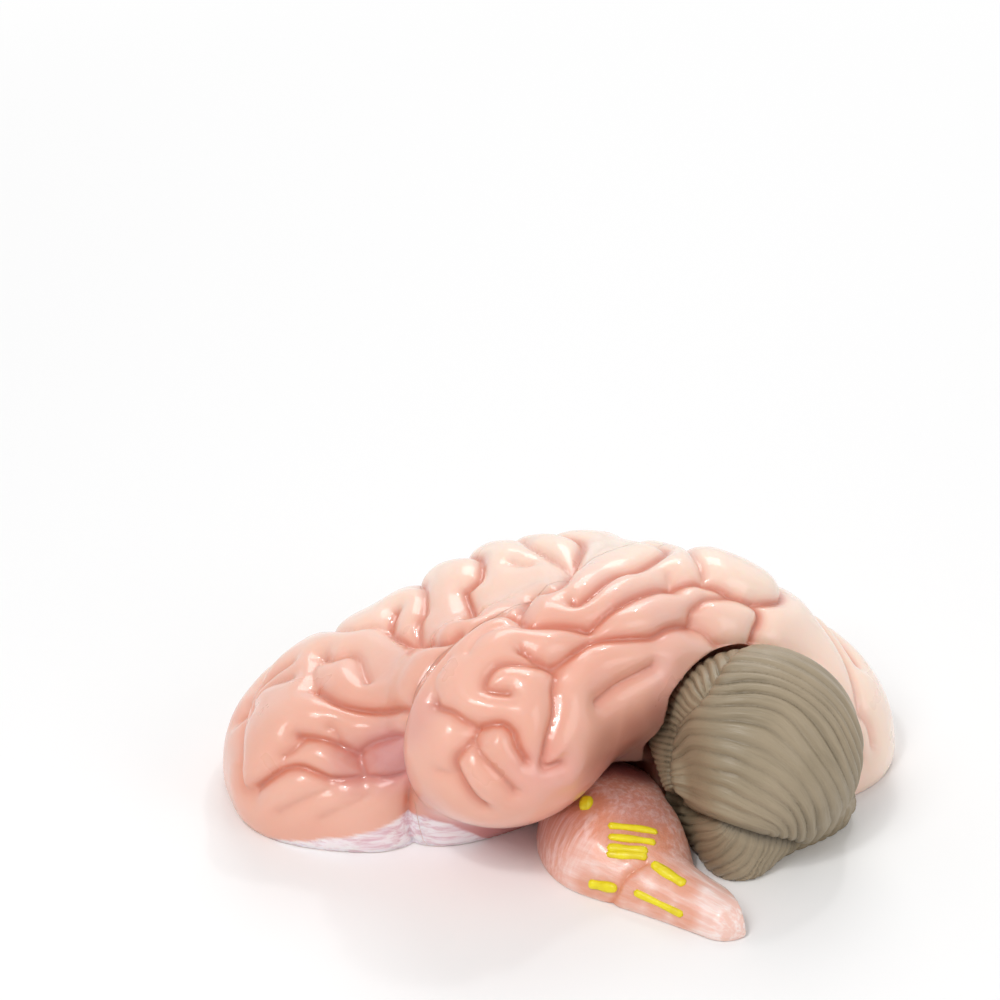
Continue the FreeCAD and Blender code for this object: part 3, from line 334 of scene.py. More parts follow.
# Unevenness: how much, its pitch and its seed. First that of each region's grooves
LEAF_ROWS = (
    (DOME_LEAVES + FAR_LEAVES, (0.12, 22.0, 3)),
    (COLLAR_LEAVES, (0.15, 12.0, 5)),
    (LOBULE_LEAVES, (0.15, 12.0, 7)),
)
LEAF_WAVE = (0.35, 26.0, 11)
PALE_WAVE = (4.0, 40.0, 17)
LOW_WAVE = (1.0, 14.0, 31)
BAND_WAVE = (0.25, 6.0, 21)

# Edge between the hemisphere (below 0) and the collar (above 0)
DOME_EDGE = (
    (0, ((57.8, 36.6), (52.2, 27.4), (47.6, 22.3), (44.4, 19.1), (43, 13.5), (42.8, 6.6),
        (44.8, -1.3))),
    (1, ((52.2, 38.9), (47.2, 32), (42.1, 27.4), (38.4, 22.8), (36.1, 15.4), (36.5, 6.6),
        (39.3, -0.4))),
    (-1, ((62.4, 33.9), (56.9, 24.6), (52.2, 19.1), (49.5, 15.8), (48.5, 11.2), (48.5, 6.6),
        (49.9, 2))),
)

# Cleft between the hemisphere and the lower lobule, drawn on the board
CLEFT = ((44.5, 0.5), (46.3, -2.5), (51.3, -4.5), (56.3, -6.5), (62.5, -8.5), (67.5, -10),
         (72.5, -11), (76.3, -12))
CLEFT_DEPTH = 3.2
CLEFT_REACH = 3.6
# Reach of the painted shadow in the cleft
CLEFT_SHADOW = 2.6

# Soft spots of tint drawn on the board: place, reach and strength. The first table is mauve paint,
# partly painted shade; the second is painted shade under the temporal lobe, the third painted shade
# near the top of the brainstem
MAUVE_AND_SHADE_SPOTS = ((-26.5, 10, 11, 0.8), (-35, 9, 9, 0.45), (-21, 21, 8, 0.35))
DEEP_SHADE_SPOTS = ((27, 11, 11, 0.55), (33, 15, 11, 0.6), (39, 20, 9, 0.5))
STEM_SHADE_SPOTS = ((33, 8, 9, 1.0), (26, 8, 7, 0.9), (36, -2, 9, 0.4))
SPOT_EDGE = 1.3
STUB_TINT = 0.7
STUB_TINT_REACH = 4.0

# Low mauve paint, partly painted shade: strength, where it starts and ends as x, its top, and how
# softly it fades; then the slant, start and spread of the painted light that makes the crown paler
LOW_PAINT = 0.9
LOW_PAINT_ENTRY = 6.0
LOW_PAINT_FADE = 8.0
LOW_PAINT_FROM = -24.0
LOW_PAINT_TO = 40.0
LOW_PAINT_TOP = 16.0
LOW_PAINT_Y = -8.0
PALE_LEAN = 0.4
PALE_START = 12.0
PALE_SPREAD = 52.0

# Groove between the pons and the medulla, drawn on the board
STEM_BELT = ((28.5, -26), (29.9, -23.6), (31.6, -19.9), (34, -17.4), (37.4, -15.3))
BELT_DEPTH = 1.3
BELT_REACH = 3.5

# Paler medulla: where it starts below and how it leans and fades; then the brush strokes and
# the streaks, each as a direction and how fine they are across and along it
STEM_PALE_FROM = 40.0
STEM_PALE_X = 30.0
STEM_PALE_LEAN = 0.25
STEM_PALE_FADE = 6.0
BRUSH = ((0.5, 0.35, 0.79), 0.75, 0.05)
STREAK = ((0.685, -0.729, 0.0), 0.7, 0.03)
ACROSS_BRUSH = (0.3, -0.8, 0.52)

# Upper edge of the painted band on the frontal lobe's lower rim, as x, z
BAND = ((-60, -1), (-57, 0.6), (-55, 1.4), (-45, 4.3), (-39, 5.2), (-33, 7.2), (-25.8, 10),
        (-20, 11), (-14, 9), (-8, 4), (-3, -1))
BAND_FADE = 0.8
BAND_TOP_Y = -4.0

# Meshes: a nerve strand's rows and sides, its lumps (size, angle along it, and angle from strand to
# strand) and its flatness, a drill's sides and where it starts above a face, and the length below which
# corners are joined
STRAND_ROWS = 25
STRAND_SIDES = 20
STRAND_LUMPS = (0.1, 9.0, 2.1)
STRAND_FLAT = 0.75
HOLE_SIDES = 48
DRILL_ABOVE = 4.0
WELD = 0.01

# How far red, green and blue light carry through the pink plastic, as shares
FLESH_RADIUS = (1.0, 0.35, 0.2)

# Pins and holes, as in the CAD model
PIN_HOLE = 2.05
STEM_PIN_HOLE = 1.55
HOLE_DEPTH = 8.6
SOCKET_DEPTH = 8.0
LOBE_PINS = ((37.0, 37.0), (96.0, 20.0))
SOCKETS = ((-22.0, 22.0), (74.0, 22.0))
CEREBELLUM_PIN = (62.0, 5.0, 20.0)
STEM_PIN_ALONG = 22.0
STEM_PIN_Z = 5.0
STEM_PIN_TURN = 75.0
CEREBELLUM_PIN_LEAN = 8.63

# Nets: the box round each casting, and the length of a net's cell
LOBES_BOX = ((-80.0, -60.0, -3.0), (112.0, 80.0, 72.0))
CEREBELLUM_BOX = ((30.0, -52.0, -2.0), (94.0, 8.0, 54.0))
BRAINSTEM_BOX = ((2.0, -72.0, -2.0), (60.0, 10.0, 22.0))
LOBES_CELL = 0.76
CEREBELLUM_CELL = 0.48
BRAINSTEM_CELL = 0.6

# Soft boxes, in metres and watts: name, place, side and power
LAMPS = (
    ("key", (-0.45, -0.55, 0.85), 0.45, 3.6),
    ("small_key", (-0.35, -0.45, 0.95), 0.09, 1.4),
    ("fill", (0.75, -0.65, 0.55), 0.6, 1.8),
    ("back", (0.15, 0.75, 0.75), 0.5, 2.2),
    ("small_back", (0.35, 0.55, 0.85), 0.07, 0.8),
)
LAMP_AIM = (0.02, 0.0, 0.02)
WORLD_LIGHT = 0.5

# Table, in metres: its side, its drop below the model, and how far out it whitens
TABLE_SIDE = 6.0
TABLE_DROP = 0.0002
WHITEN_FROM = 0.14
WHITEN_TO = 0.7


# Fields

def egg(name):
    """Distance-like field of one egg: negative inside, zero on its surface."""
    numbers = np.array(EGGS[name], float)
    centre, half = numbers[:3], numbers[3:]

    def field(p):
        q = (p - centre) / half
        reach = np.sqrt((q * q).sum(-1)) + TINY
        slope = np.sqrt(((q / half) ** 2).sum(-1)) + TINY
        return reach * (reach - 1.0) / slope
    return field


def limb(name):
    """Distance field of one tapered limb with round ends."""
    numbers = np.array(LIMBS[name], float)
    start, end, thick, to_thick = numbers[:3], numbers[3:6], numbers[6], numbers[7]
    along = end - start

    def field(p):
        t = np.clip(((p - start) @ along) / (along @ along), 0.0, 1.0)
        off = p - start - t[..., None] * along
        return np.sqrt((off * off).sum(-1)) - thick - t * (to_thick - thick)
    return field


def soft_min(values, softness):
    """Masses run together: a soft minimum of their fields."""
    low = np.minimum.reduce(values)
    return low - softness * np.log(sum(np.exp((low - v) / softness) for v in values))


def blend(names, softness):
    """Field of several masses run together."""
    fields = [egg(name) if name in EGGS else limb(name) for name in names]
    return lambda p: soft_min([one(p) for one in fields], softness)


def slant(degrees):
    """Directions along a slanting line and square to it, from its rise towards the back."""
    rise = math.radians(degrees)
    along = np.array((math.cos(rise), math.sin(rise), 0.0))
    return along, np.array((-along[1], along[0], 0.0))


LOBE_CUT_ALONG, LOBE_CUT_UP = slant(LOBE_CUT_RISE)
STEM_CUT_ALONG, STEM_CUT_BACK = slant(-STEM_CUT_FALL)
cortex = blend(LOBE_MASSES, LOBE_SOFTNESS)
cerebellum_masses = blend(CEREBELLUM_MASSES, CEREBELLUM_SOFTNESS)
stem_masses = blend(BRAINSTEM_MASSES, BRAINSTEM_SOFTNESS)
collar = limb("collar")


def lobe_side(p):
    """Signed distance from the cut between the lobes, positive in the frontal half."""
    return (p - np.array(LOBE_CUT_POINT)) @ LOBE_CUT_UP


def stem_side(p):
    """Signed distance from the cut before the cerebellum, positive in the brainstem."""
    return (p - np.array(STEM_CUT_POINT)) @ -STEM_CUT_BACK


def cerebellum(p):
    """Hemisphere, vermis and tonsil trimmed by the stem cut, with the collar beside it."""
    main = np.maximum(cerebellum_masses(p), stem_side(p) + 0.5 * SEAM)
    return soft_min([main, collar(p)], COLLAR_SOFTNESS)


def rounded_cerebellum(p):
    """The same half with a rounded shoulder where the stem cut trims it."""
    main = -soft_min([-cerebellum_masses(p), -stem_side(p) - 0.5 * SEAM], SHOULDER)
    return soft_min([main, collar(p)], COLLAR_SOFTNESS)


def brainstem(p):
    """Midbrain, pons and medulla, trimmed by the stem cut and clear of the cerebellum."""
    trim = 0.5 * SEAM - stem_side(p)
    return np.maximum.reduce([stem_masses(p), trim, COLLAR_GAP - cerebellum(p)])


def room(p):
    """Field of the hollow that the lobes leave round the cerebellum and the brainstem."""
    return soft_min([cerebellum(p) - SEAT_GAP, brainstem(p) - STEM_GAP], ROOM_SOFTNESS)


def lobes(p):
    """Both lobes together, hollowed over the pieces below them."""
    return np.maximum(cortex(p), -room(p))


def slope_at(field, p, step=0.15):
    """Unit outward normals of a field, and how fast it grows along them."""
    g = np.empty_like(p)
    for axis in range(3):
        shift = np.zeros(3)
        shift[axis] = step
        g[:, axis] = field(p + shift) - field(p - shift)
    length = np.sqrt((g * g).sum(1)) + TINIEST
    return g / length[:, None], length / (2.0 * step)


def settle(field, p, rounds=2):
    """Points moved onto the level surface of a field."""
    for _ in range(rounds):
        normal, rate = slope_at(field, p)
        p = p - (field(p) / np.maximum(rate, LEAST_RATE))[:, None] * normal
    return p


def evened(field, points, rings, rounds=3):
    """Points spread evenly: each moves half way to its neighbours' mean, then settles again."""
    here, there = rings.ravel(), np.roll(rings, -1, axis=1).ravel()
    count = np.maximum(np.bincount(here, minlength=len(points)), 1)
    for _ in range(rounds):
        mean = np.column_stack([np.bincount(here, points[there, k], len(points))
                                for k in range(3)]) / count[:, None]
        points = settle(field, 0.5 * (points + mean), 1)
    return points


# Drawing on a surface

def board_axes():
    """Right and up of the drawing board, seen from the photograph's eye."""
    turn, tilt = math.radians(EYE_TURN), math.radians(EYE_TILT)
    right = np.array((math.cos(turn), -math.sin(turn), 0.0))
    up = np.array((math.sin(tilt) * math.sin(turn), math.sin(tilt) * math.cos(turn),
                   math.cos(tilt)))
    return right, up


def first_hits(field, start, direction, far):
    """First points of a surface along rays, or the nearest pass where a ray misses."""
    travelled = np.zeros(len(start))
    best = np.full(len(start), FAR_OFF)
    place = start.copy()
    moving = np.ones(len(start), bool)
    for _ in range(RAY_STEPS):
        p = start + travelled[:, None] * direction
        value = field(p)
        closer = moving & (value < best)
        best[closer] = value[closer]
        place[closer] = p[closer]
        moving &= (value > RAY_CLOSE) & (travelled < far)
        if not moving.any():
            break
        stride = np.maximum(RAY_SHARE * value, RAY_LEAST)
        travelled = travelled + np.where(moving, stride, 0.0)
    return settle(field, place, 3)


def from_board(field, drawn):
    """Surface points that the eye sees through points of the board."""
    right, up = board_axes()
    drawn = np.array(drawn, float)
    target = BOARD_UNIT * (drawn[:, :1] * right + drawn[:, 1:] * up)
    reach = np.linalg.norm(target - EYE, axis=1)
    direction = (target - EYE) / reach[:, None]
    start = EYE + (reach - BEFORE_BOARD)[:, None] * direction
    return first_hits(field, start, direction, RAY_LENGTH)


def from_plan(field, drawn):
    """Surface points above x, y places, or the nearest ones on the midline cut's rim."""
    drawn = np.array(drawn, float)
    start = np.column_stack([drawn, np.full(len(drawn), PLAN_HEIGHT)])
    down = np.tile((0.0, 0.0, -1.0), (len(drawn), 1))
    p = first_hits(field, start, down, PLAN_HEIGHT)
    p[:, 2] = np.maximum(p[:, 2], 0.0)
    return p


def curve_through(points, parts=6):
    """Smooth line through drawn points, cut into short steps (a Catmull-Rom curve)."""
    points = np.array(points, float)
    if len(points) < 3:
        t = np.linspace(0.0, 1.0, parts + 1)[:, None]
        return points[0] + t * (points[1] - points[0])
    padded = np.vstack([points[:1], points, points[-1:]])
    line = []
    for before, a, b, after in zip(padded, padded[1:], padded[2:], padded[3:]):
        for step in range(parts):
            t = step / parts
            line.append(0.5 * (2 * a + (b - before) * t
                               + (2 * before - 5 * a + 4 * b - after) * t ** 2
                               + (3 * a - before - 3 * b + after) * t ** 3))
    line.append(points[-1])
    return np.array(line)


def drawn_folds():
    """Every fold as (share of depth, line of points on the uncut cortex)."""
    folds = []
    for share, points in BOARD_FOLDS.values():
        folds.append((share, from_board(cortex, curve_through(points))))
    for share, points in PLAN_FOLDS.values():
        folds.append((share, from_plan(cortex, curve_through(points))))
    for share, near, far in OVER_FOLDS.values():
        points = np.vstack([from_board(cortex, near), from_plan(cortex, far)])
        folds.append((share, settle(cortex, curve_through(points), 3)))
    return folds


def away_from(line, p):
    """Distance of points from a chain of points."""
    best = np.full(len(p), FAR_OFF ** 2)
    for a, b in zip(line, line[1:]):
        along = b - a
        t = np.clip(((p - a) @ along) / (along @ along + TINIEST), 0.0, 1.0)
        off = p - a - t[:, None] * along
        best = np.minimum(best, (off * off).sum(1))
    return np.sqrt(best)


def numbered(field, drawn, p):
    """Numbers of drawn lines spread smoothly over a surface, by distances to their points."""
    places, numbers = [], []
    for number, points in drawn:
        line = curve_through(points, 2)
        line = from_board(field, line) if line.shape[1] == 2 else settle(field, line, 3)
        places.append(line)
        numbers += [float(number)] * len(line)
    places = np.vstack(places)
    count = len(places)
    apart = np.linalg.norm(places[:, None] - places[None], axis=2)
    plain = np.column_stack([places, np.ones(count)])
    system = np.block([[apart - LINE_EASE * np.eye(count), plain], [plain.T, np.zeros((4, 4))]])
    weights = np.linalg.lstsq(system, np.concatenate([numbers, np.zeros(4)]), rcond=None)[0]
    result = p @ weights[count:count + 3] + weights[count + 3]
    for place, weight in zip(places, weights):
        result += weight * np.linalg.norm(p - place, axis=1)
    return result


def wavy(p, size, pitch, seed):
    """Smooth made-up variation to about plus or minus a size, that repeats each run."""
    rng = np.random.default_rng(seed)
    total = np.zeros(len(p))
    for _ in range(6):
        direction = rng.normal(size=3)
        direction /= np.linalg.norm(direction)
        total += np.sin(p @ direction * (2.0 * math.pi / pitch) * rng.uniform(0.6, 1.4)
                        + rng.uniform(0.0, 6.28))
    return size * (total / 3.0)


def fade(values):
    """Values kept between nothing and all."""
    return np.clip(values, 0.0, 1.0)


# Nets

CORNERS = [(a, b, c) for a in (0, 1) for b in (0, 1) for c in (0, 1)]
RODS = [(p, q) for p in CORNERS for q in CORNERS
        if p < q and sum(abs(p[k] - q[k]) for k in range(3)) == 1]


def field_on_grid(field, axes):
    """Field values at every node of a grid, one slab at a time."""
    y, z = np.meshgrid(axes[1], axes[2], indexing="ij")
    values = np.empty([len(axis) for axis in axes])
    for n, x in enumerate(axes[0]):
        values[n] = field(np.stack([np.full_like(y, x), y, z], axis=-1))
    return values


def net_of(field, low, high, cell):
    """Closed net of four-sided meshes round the level surface of a field."""
    axes = [np.arange(low[k], high[k] + cell, cell) for k in range(3)]
    values = field_on_grid(field, axes)
    inside = values < 0.0
    shape = [n - 1 for n in inside.shape]

    def corner(array, c):
        return array[c[0]:c[0] + shape[0], c[1]:c[1] + shape[1], c[2]:c[2] + shape[2]]

    count = sum(corner(inside, c).astype(np.int8) for c in CORNERS)
    active = (count > 0) & (count < 8)
    number = np.full(active.shape, -1)
    number[active] = np.arange(active.sum())
    at = np.argwhere(active)
    total = np.zeros(at.shape)
    crossed = np.zeros(len(at))
    for p, q in RODS:
        a = corner(values, p)[active]
        b = corner(values, q)[active]
        hit = (a < 0.0) != (b < 0.0)
        t = np.where(hit, a / np.where(hit, a - b, 1.0), 0.0)
        step = np.array(p) + t[:, None] * (np.array(q) - np.array(p))
        total += np.where(hit[:, None], step, 0.0)
        crossed += hit
    points = np.array(low) + cell * (at + total / crossed[:, None])
    return points, four_sided(inside, number)


def four_sided(inside, number):
    """The meshes of a net: one round each grid step that passes through the surface."""
    rings = []
    for axis, (a, b) in enumerate(((1, 2), (2, 0), (0, 1))):
        near = np.take(inside, range(inside.shape[axis] - 1), axis)
        far = np.take(inside, range(1, inside.shape[axis]), axis)
        node = np.argwhere(near != far)
        node = node[(node[:, a] > 0) & (node[:, b] > 0)]
        node = node[(node[:, a] < number.shape[a]) & (node[:, b] < number.shape[b])]
        ring = []
        for da, db in ((1, 1), (0, 1), (0, 0), (1, 0)):
            cell_at = node.copy()
            cell_at[:, a] -= da
            cell_at[:, b] -= db
            ring.append(number[tuple(cell_at.T)])
        ring = np.stack(ring, axis=1)
        outward = inside[tuple(node.T)]
        ring[~outward] = ring[~outward][:, ::-1]
        rings.append(ring[(ring >= 0).all(1)])
    return np.vstack(rings)


def skin_of(field, box, cell):
    """Evenly spread points on a field's surface, and the meshes that join them."""
    points, rings = net_of(field, *box, cell)
    return evened(field, settle(field, points), rings), rings


# Meshes

@contextmanager
def opened(thing):
    """A piece's mesh opened for changes, and stored again at the end."""
    work = bmesh.new()
    work.from_mesh(thing.data)
    yield work
    work.to_mesh(thing.data)
    work.free()


def mesh_from(name, points, rings, paints):
    """Object in metres, with each paint stored on its vertices."""
    mesh = bpy.data.meshes.new(name)
    mesh.vertices.add(len(points))
    mesh.vertices.foreach_set("co", (points * MM).astype(np.float32).ravel())
    mesh.loops.add(rings.size)
    mesh.loops.foreach_set("vertex_index", rings.astype(np.int32).ravel())
    mesh.polygons.add(len(rings))
    mesh.polygons.foreach_set("loop_start", (np.arange(len(rings)) * 4).astype(np.int32))
    mesh.update(calc_edges=True)
    for key, values in paints.items():
        values = np.asarray(values, np.float32)
        if values.ndim == 1:
            layer = mesh.attributes.new(key, "FLOAT", "POINT")
            layer.data.foreach_set("value", values)
        else:
            layer = mesh.attributes.new(key, "FLOAT_VECTOR", "POINT")
            layer.data.foreach_set("vector", values.ravel())
    thing = bpy.data.objects.new(name, mesh)
    bpy.context.scene.collection.objects.link(thing)
    return thing


def slice_flat(thing, point, outward):
    """Cut away what lies beyond a plane and close the cut with a flat, crisp face."""
    outward = Vector(outward)
    with opened(thing) as work:
        everything = list(work.verts) + list(work.edges) + list(work.faces)
        bmesh.ops.bisect_plane(work, geom=everything, dist=1e-7, plane_co=Vector(point) * MM,
                               plane_no=outward, clear_outer=True, clear_inner=False)
        for face in work.faces:
            face.smooth = True
        rim = [edge for edge in work.edges if edge.is_boundary]
        caps = bmesh.ops.triangle_fill(work, edges=rim, use_beauty=True, use_dissolve=False,
                                       normal=outward)
        for face in [g for g in caps["geom"] if isinstance(g, bmesh.types.BMFace)]:
            face.smooth = False
            face.material_index = 1
            if face.normal.dot(outward) < 0.0:
                face.normal_flip()
        for edge in rim:
            if edge.is_valid:
                edge.smooth = False


def weld(thing):
    """Join doubled corners and take out slivers that a cut leaves."""
    with opened(thing) as work:
        bmesh.ops.triangulate(work, faces=[face for face in work.faces if len(face.verts) > 4])
        bmesh.ops.remove_doubles(work, verts=work.verts, dist=WELD * MM)
        bmesh.ops.dissolve_degenerate(work, edges=work.edges, dist=WELD * MM)


def drill(thing, holes):
    """Blind round holes: each one is (mouth, direction inwards, radius, depth)."""
    for mouth, inward, radius, depth in holes:
        mouth = Vector(mouth) * MM
        inward = Vector(inward).normalized()
        above = DRILL_ABOVE * MM
        middle = mouth + inward * (0.5 * (depth * MM - above))
        bpy.ops.mesh.primitive_cylinder_add(vertices=HOLE_SIDES, radius=radius * MM,
                                            depth=depth * MM + above, location=middle)
        bit = bpy.context.object
        bit.rotation_mode = "QUATERNION"
        bit.rotation_quaternion = inward.to_track_quat("Z", "Y")
        cutter = thing.modifiers.new("hole", "BOOLEAN")
        cutter.operation = "DIFFERENCE"
        cutter.solver = "EXACT"
        cutter.object = bit
        bpy.context.view_layer.update()
        graph = bpy.context.evaluated_depsgraph_get()
        drilled = bpy.data.meshes.new_from_object(thing.evaluated_get(graph))
        thing.modifiers.clear()
        old = thing.data
        thing.data = drilled
        bpy.data.meshes.remove(old)
        bpy.data.objects.remove(bit)
    weld(thing)


# Castings

def bolster(away, reach):
    """How far a surface has sunk towards a crease, 0 to 1, steepest at the crease."""
    side = STEEPEST * fade(1.0 - away / reach)
    return 1.0 - np.sqrt(1.0 - side * side)


def rounded_rim(points, radius):
    """How far a skin sinks towards the flat medial face, which rounds its rim."""
    return radius * bolster(np.abs(points[:, 2]), 2.0 * radius)


def creases(points):
    """Level left by every fold and by the fissure, from 1 down, and how near a crease is, which sets
    the painted shade in it.
    """
    level = np.ones(len(points))
    crease = np.zeros(len(points))
    side = lobe_side(points)
    fissure = fade(0.5 + (FISSURE_END_X - points[:, 0]) / FISSURE_FADE)
    for share, line in drawn_folds():
        low, high = line.min(0) - FOLD_REACH, line.max(0) + FOLD_REACH
        near = ((points > low) & (points < high)).all(1)
        away = np.hypot(away_from(line, points[near]), CREASE_ROUND) - CREASE_ROUND
        own_side = np.sign(np.median(lobe_side(line))) * side[near]
        reached = 1.0 - fissure[near] * fade(0.5 - own_side / OWN_SIDE_FADE)
        level[near] *= 1.0 - reached * share * bolster(away, FOLD_REACH) / DEEPEST
        # Painted shade beside the crease, darkest in it
        tint = reached * share * fade(1.0 - away / CREASE_SHADE_REACH)
        crease[near] = np.maximum(crease[near], tint)
    level *= 1.0 - fissure * FISSURE_SHARE * bolster(np.abs(side), FOLD_REACH) / DEEPEST
    crease = np.maximum(crease, fissure * fade(1.0 - np.abs(side) / CREASE_SHADE_REACH))
    seam = (1.0 - fissure) * SEAM_DEPTH * bolster(np.abs(side), SEAM_REACH)
    return level, crease, seam


def folded(points):
    """Cortex points pressed in along the folds, with painted shade for the creases and the seats."""
    normal = slope_at(cortex, points)[0]
    level, crease, seam = creases(points)
    sink = DEEPEST * FOLD_DEPTH * (1.0 - level)
    sink += seam
    sink += rounded_rim(points, RIM_ROUND)
    depth = np.maximum(-cortex(points), 0.0)
    moved = points - np.maximum(sink - depth, 0.0)[:, None] * normal
    moved[:, 2] -= (1.0 - CREST_KEEP) * np.maximum(moved[:, 2] - CREST_FROM, 0.0)
    inside = np.maximum(-room(moved), 0.0)
    touched = inside > 0.0
    if touched.any():
        moved[touched] += inside[touched][:, None] * slope_at(room, moved[touched])[0]
    # Painted shade for the creases, and painted shade that fills the hollows over the pieces below
    return moved, crease * (depth < 0.5 * SEAT_SHADE_DEPTH), fade(depth / SEAT_SHADE_DEPTH)


def make_lobes():
    """The two lobes, cut from one folded skin."""
    points, rings = skin_of(lobes, LOBES_BOX, LOBES_CELL)
    moved, crease, seat_shade = folded(points)
    # Painted shade darkens the creases and the hollows over the pieces below
    paints = {"crease": crease, "seat_shade": seat_shade, "band": band_paint(points),
              # painted light: paler where the light falls
              "pale": painted_light_paleness(points),
              # mauve paint, partly painted shade on the underside
              "mauve": np.maximum(spots(cortex, MAUVE_AND_SHADE_SPOTS, points), low_mauve_and_shade(points)),
              # painted shade under the temporal lobe
              "deep_shade": spots(cortex, DEEP_SHADE_SPOTS, points)}
    pieces = {}
    for name, side in (("cortex_front", 1), ("cortex_back", -1)):
        piece = mesh_from(name, moved, rings, paints)
        start = np.array(LOBE_CUT_POINT) + side * 0.5 * SHOWN_SEAM * LOBE_CUT_UP
        slice_flat(piece, (0, 0, 0), (0, 0, -1))
        slice_flat(piece, start, -side * LOBE_CUT_UP)
        pieces[name] = piece
    drill_lobes(pieces)
    return pieces


def drill_lobes(pieces):
    """Sockets of both lobes and the holes that take the pins of their neighbours."""
    front_socket, back_socket = [((x, y, 0.0), (0, 0, 1), PIN_HOLE, SOCKET_DEPTH)
                                 for x, y in SOCKETS]
    front = []
    for along, z in LOBE_PINS:
        x, y = (np.array(LOBE_CUT_POINT) + along * LOBE_CUT_ALONG)[:2]
        front.append(((x, y, z), LOBE_CUT_UP, PIN_HOLE, HOLE_DEPTH))
    pin_up = slant(CEREBELLUM_PIN_LEAN)[1]
    drill(pieces["cortex_front"], front + [front_socket])
    drill(pieces["cortex_back"], [back_socket, (CEREBELLUM_PIN, pin_up, PIN_HOLE, HOLE_DEPTH)])


def spots(field, drawn, p):
    """Soft round spots drawn on the board as u, v, reach and strength, used for mauve paint that is
    partly painted shade and for painted shade.
    """
    paint = np.zeros(len(p))
    for u, v, reach, strength in drawn:
        centre = from_board(field, [(u, v)])[0]
        soft = fade(SPOT_EDGE - np.linalg.norm(p - centre, axis=1) / reach)
        paint = np.maximum(paint, strength * soft * soft * (3.0 - 2.0 * soft))
    return paint


def painted_light_paleness(p):
    """Painted light: paler plastic towards the crown and the back of the head, where the light falls.
    """
    rise = p[:, 1] + PALE_LEAN * p[:, 0] + PALE_START + wavy(p, *PALE_WAVE)
    return fade(rise / PALE_SPREAD)


def low_mauve_and_shade(p):
    """Mauve tint low down beside the brainstem, partly mauve paint and partly painted shade on the
    underside.
    """
    behind_pole = fade((p[:, 0] - LOW_PAINT_FROM) / LOW_PAINT_ENTRY)
    low = fade((LOW_PAINT_TOP - p[:, 2] + wavy(p, *LOW_WAVE)) / LOW_PAINT_FADE)
    return LOW_PAINT * behind_pole * low * (p[:, 1] < LOW_PAINT_Y) * (p[:, 0] < LOW_PAINT_TO)


def band_paint(p):
    """White-pink band along the frontal lobe's lower rim, drawn as its height over length."""
    line = np.array(BAND)
    height = np.interp(p[:, 0], line[:, 0], line[:, 1])
    inside = fade((height - p[:, 2] + wavy(p, *BAND_WAVE)) / BAND_FADE)
    return inside * (p[:, 1] < BAND_TOP_Y)


def leaf_profile(numbers):
    """Rounded ridge between grooves: 0 on the ridge and 1 in the groove."""
    part = np.abs(numbers - np.floor(numbers) - 0.5) * 2.0
    return 0.75 * part ** 2 + 0.25 * part ** 6


def cerebellum_regions(points):
    """Shares of collar and lower lobule, and each point's place from the edges of both."""
    cleft = from_board(rounded_cerebellum, curve_through(CLEFT))
    order = np.argsort(cleft[:, 0])
    below = np.interp(points[:, 0], cleft[order, 0], cleft[order, 2]) - points[:, 2]
    in_lobule = fade(below / LOBULE_FADE + 0.5) * (points[:, 1] < LOBULE_TOP_Y)
    edge = EDGE_SPREAD * numbered(rounded_cerebellum, DOME_EDGE, points)
    in_collar = fade(edge + 0.5) * (1.0 - in_lobule)
    return in_collar, in_lobule, away_from(cleft, points), below, edge


def leaves(points, shares):
    """The leaves' depth and the painted shade in their grooves, and the region and row that each point
    lies in.
    """
    rows = [numbered(rounded_cerebellum, drawn, points) + wavy(points, *wave)
            for drawn, wave in LEAF_ROWS]
    strength = LEAF_STRENGTH + wavy(points, *LEAF_WAVE)
    groove = sum(share * leaf_profile(row) for share, row in zip(shares, rows))
    finer = shares[0] * leaf_profile(2.0 * rows[0] + FINER_SHIFT)
    sink = LEAF_DEPTH * (strength * groove + FINER_SHARE * finer)
    region = np.argmax(np.array(shares), axis=0)
    return sink, LEAF_GROOVE_SHADE * strength * groove ** 2, region, np.choose(region, rows)


def make_cerebellum():
    """Half cerebellum: hemisphere, collar and lower lobule, each with its own leaves."""
    points, rings = skin_of(rounded_cerebellum, CEREBELLUM_BOX, CEREBELLUM_CELL)
    normal = slope_at(rounded_cerebellum, points)[0]
    in_collar, in_lobule, cleft_away, below, edge = cerebellum_regions(points)
    shares = [(1.0 - in_lobule) * (1.0 - in_collar), in_collar, in_lobule]
    sink, dark, region, row = leaves(points, shares)
    sink *= 1.0 - COLLAR_SHALLOWER * in_collar - LOBULE_SHALLOWER * in_lobule
    sink += CLEFT_DEPTH * bolster(cleft_away, CLEFT_REACH)
    sink += LOBULE_STEP * in_lobule * fade(1.0 - below / LOBULE_RISE)
    sink += EDGE_GROOVE * bolster(np.abs(edge), EDGE_REACH) * (1.0 - in_lobule)
    sink += COLLAR_STEP * in_collar
    sink += rounded_rim(points, LOWER_RIM_ROUND)
    moved = points - sink[:, None] * normal
    shadow = fade(1.0 - cleft_away / CLEFT_SHADOW)
    beside_edge = fade(1.0 - np.abs(edge - 1.0) / EDGE_SHADOW)
    shadow += EDGE_SHADOW_DARKNESS * beside_edge * (points[:, 2] < EDGE_SHADOW_Z)
    strands = np.column_stack([LINES_ACROSS * row, LINES_ALONG * points[:, 0],
                               LINES_ALONG * points[:, 2] + LINES_APART * region])
    # Painted shade in the leaves' grooves, with painted shadow in the cleft and beside the collar's
    # edge
    paints = {"groove": fade(dark + shadow), "strands": strands}
    piece = mesh_from("cerebellum_casting", moved, rings, paints)
    slice_flat(piece, (0, 0, 0), (0, 0, -1))
    return piece


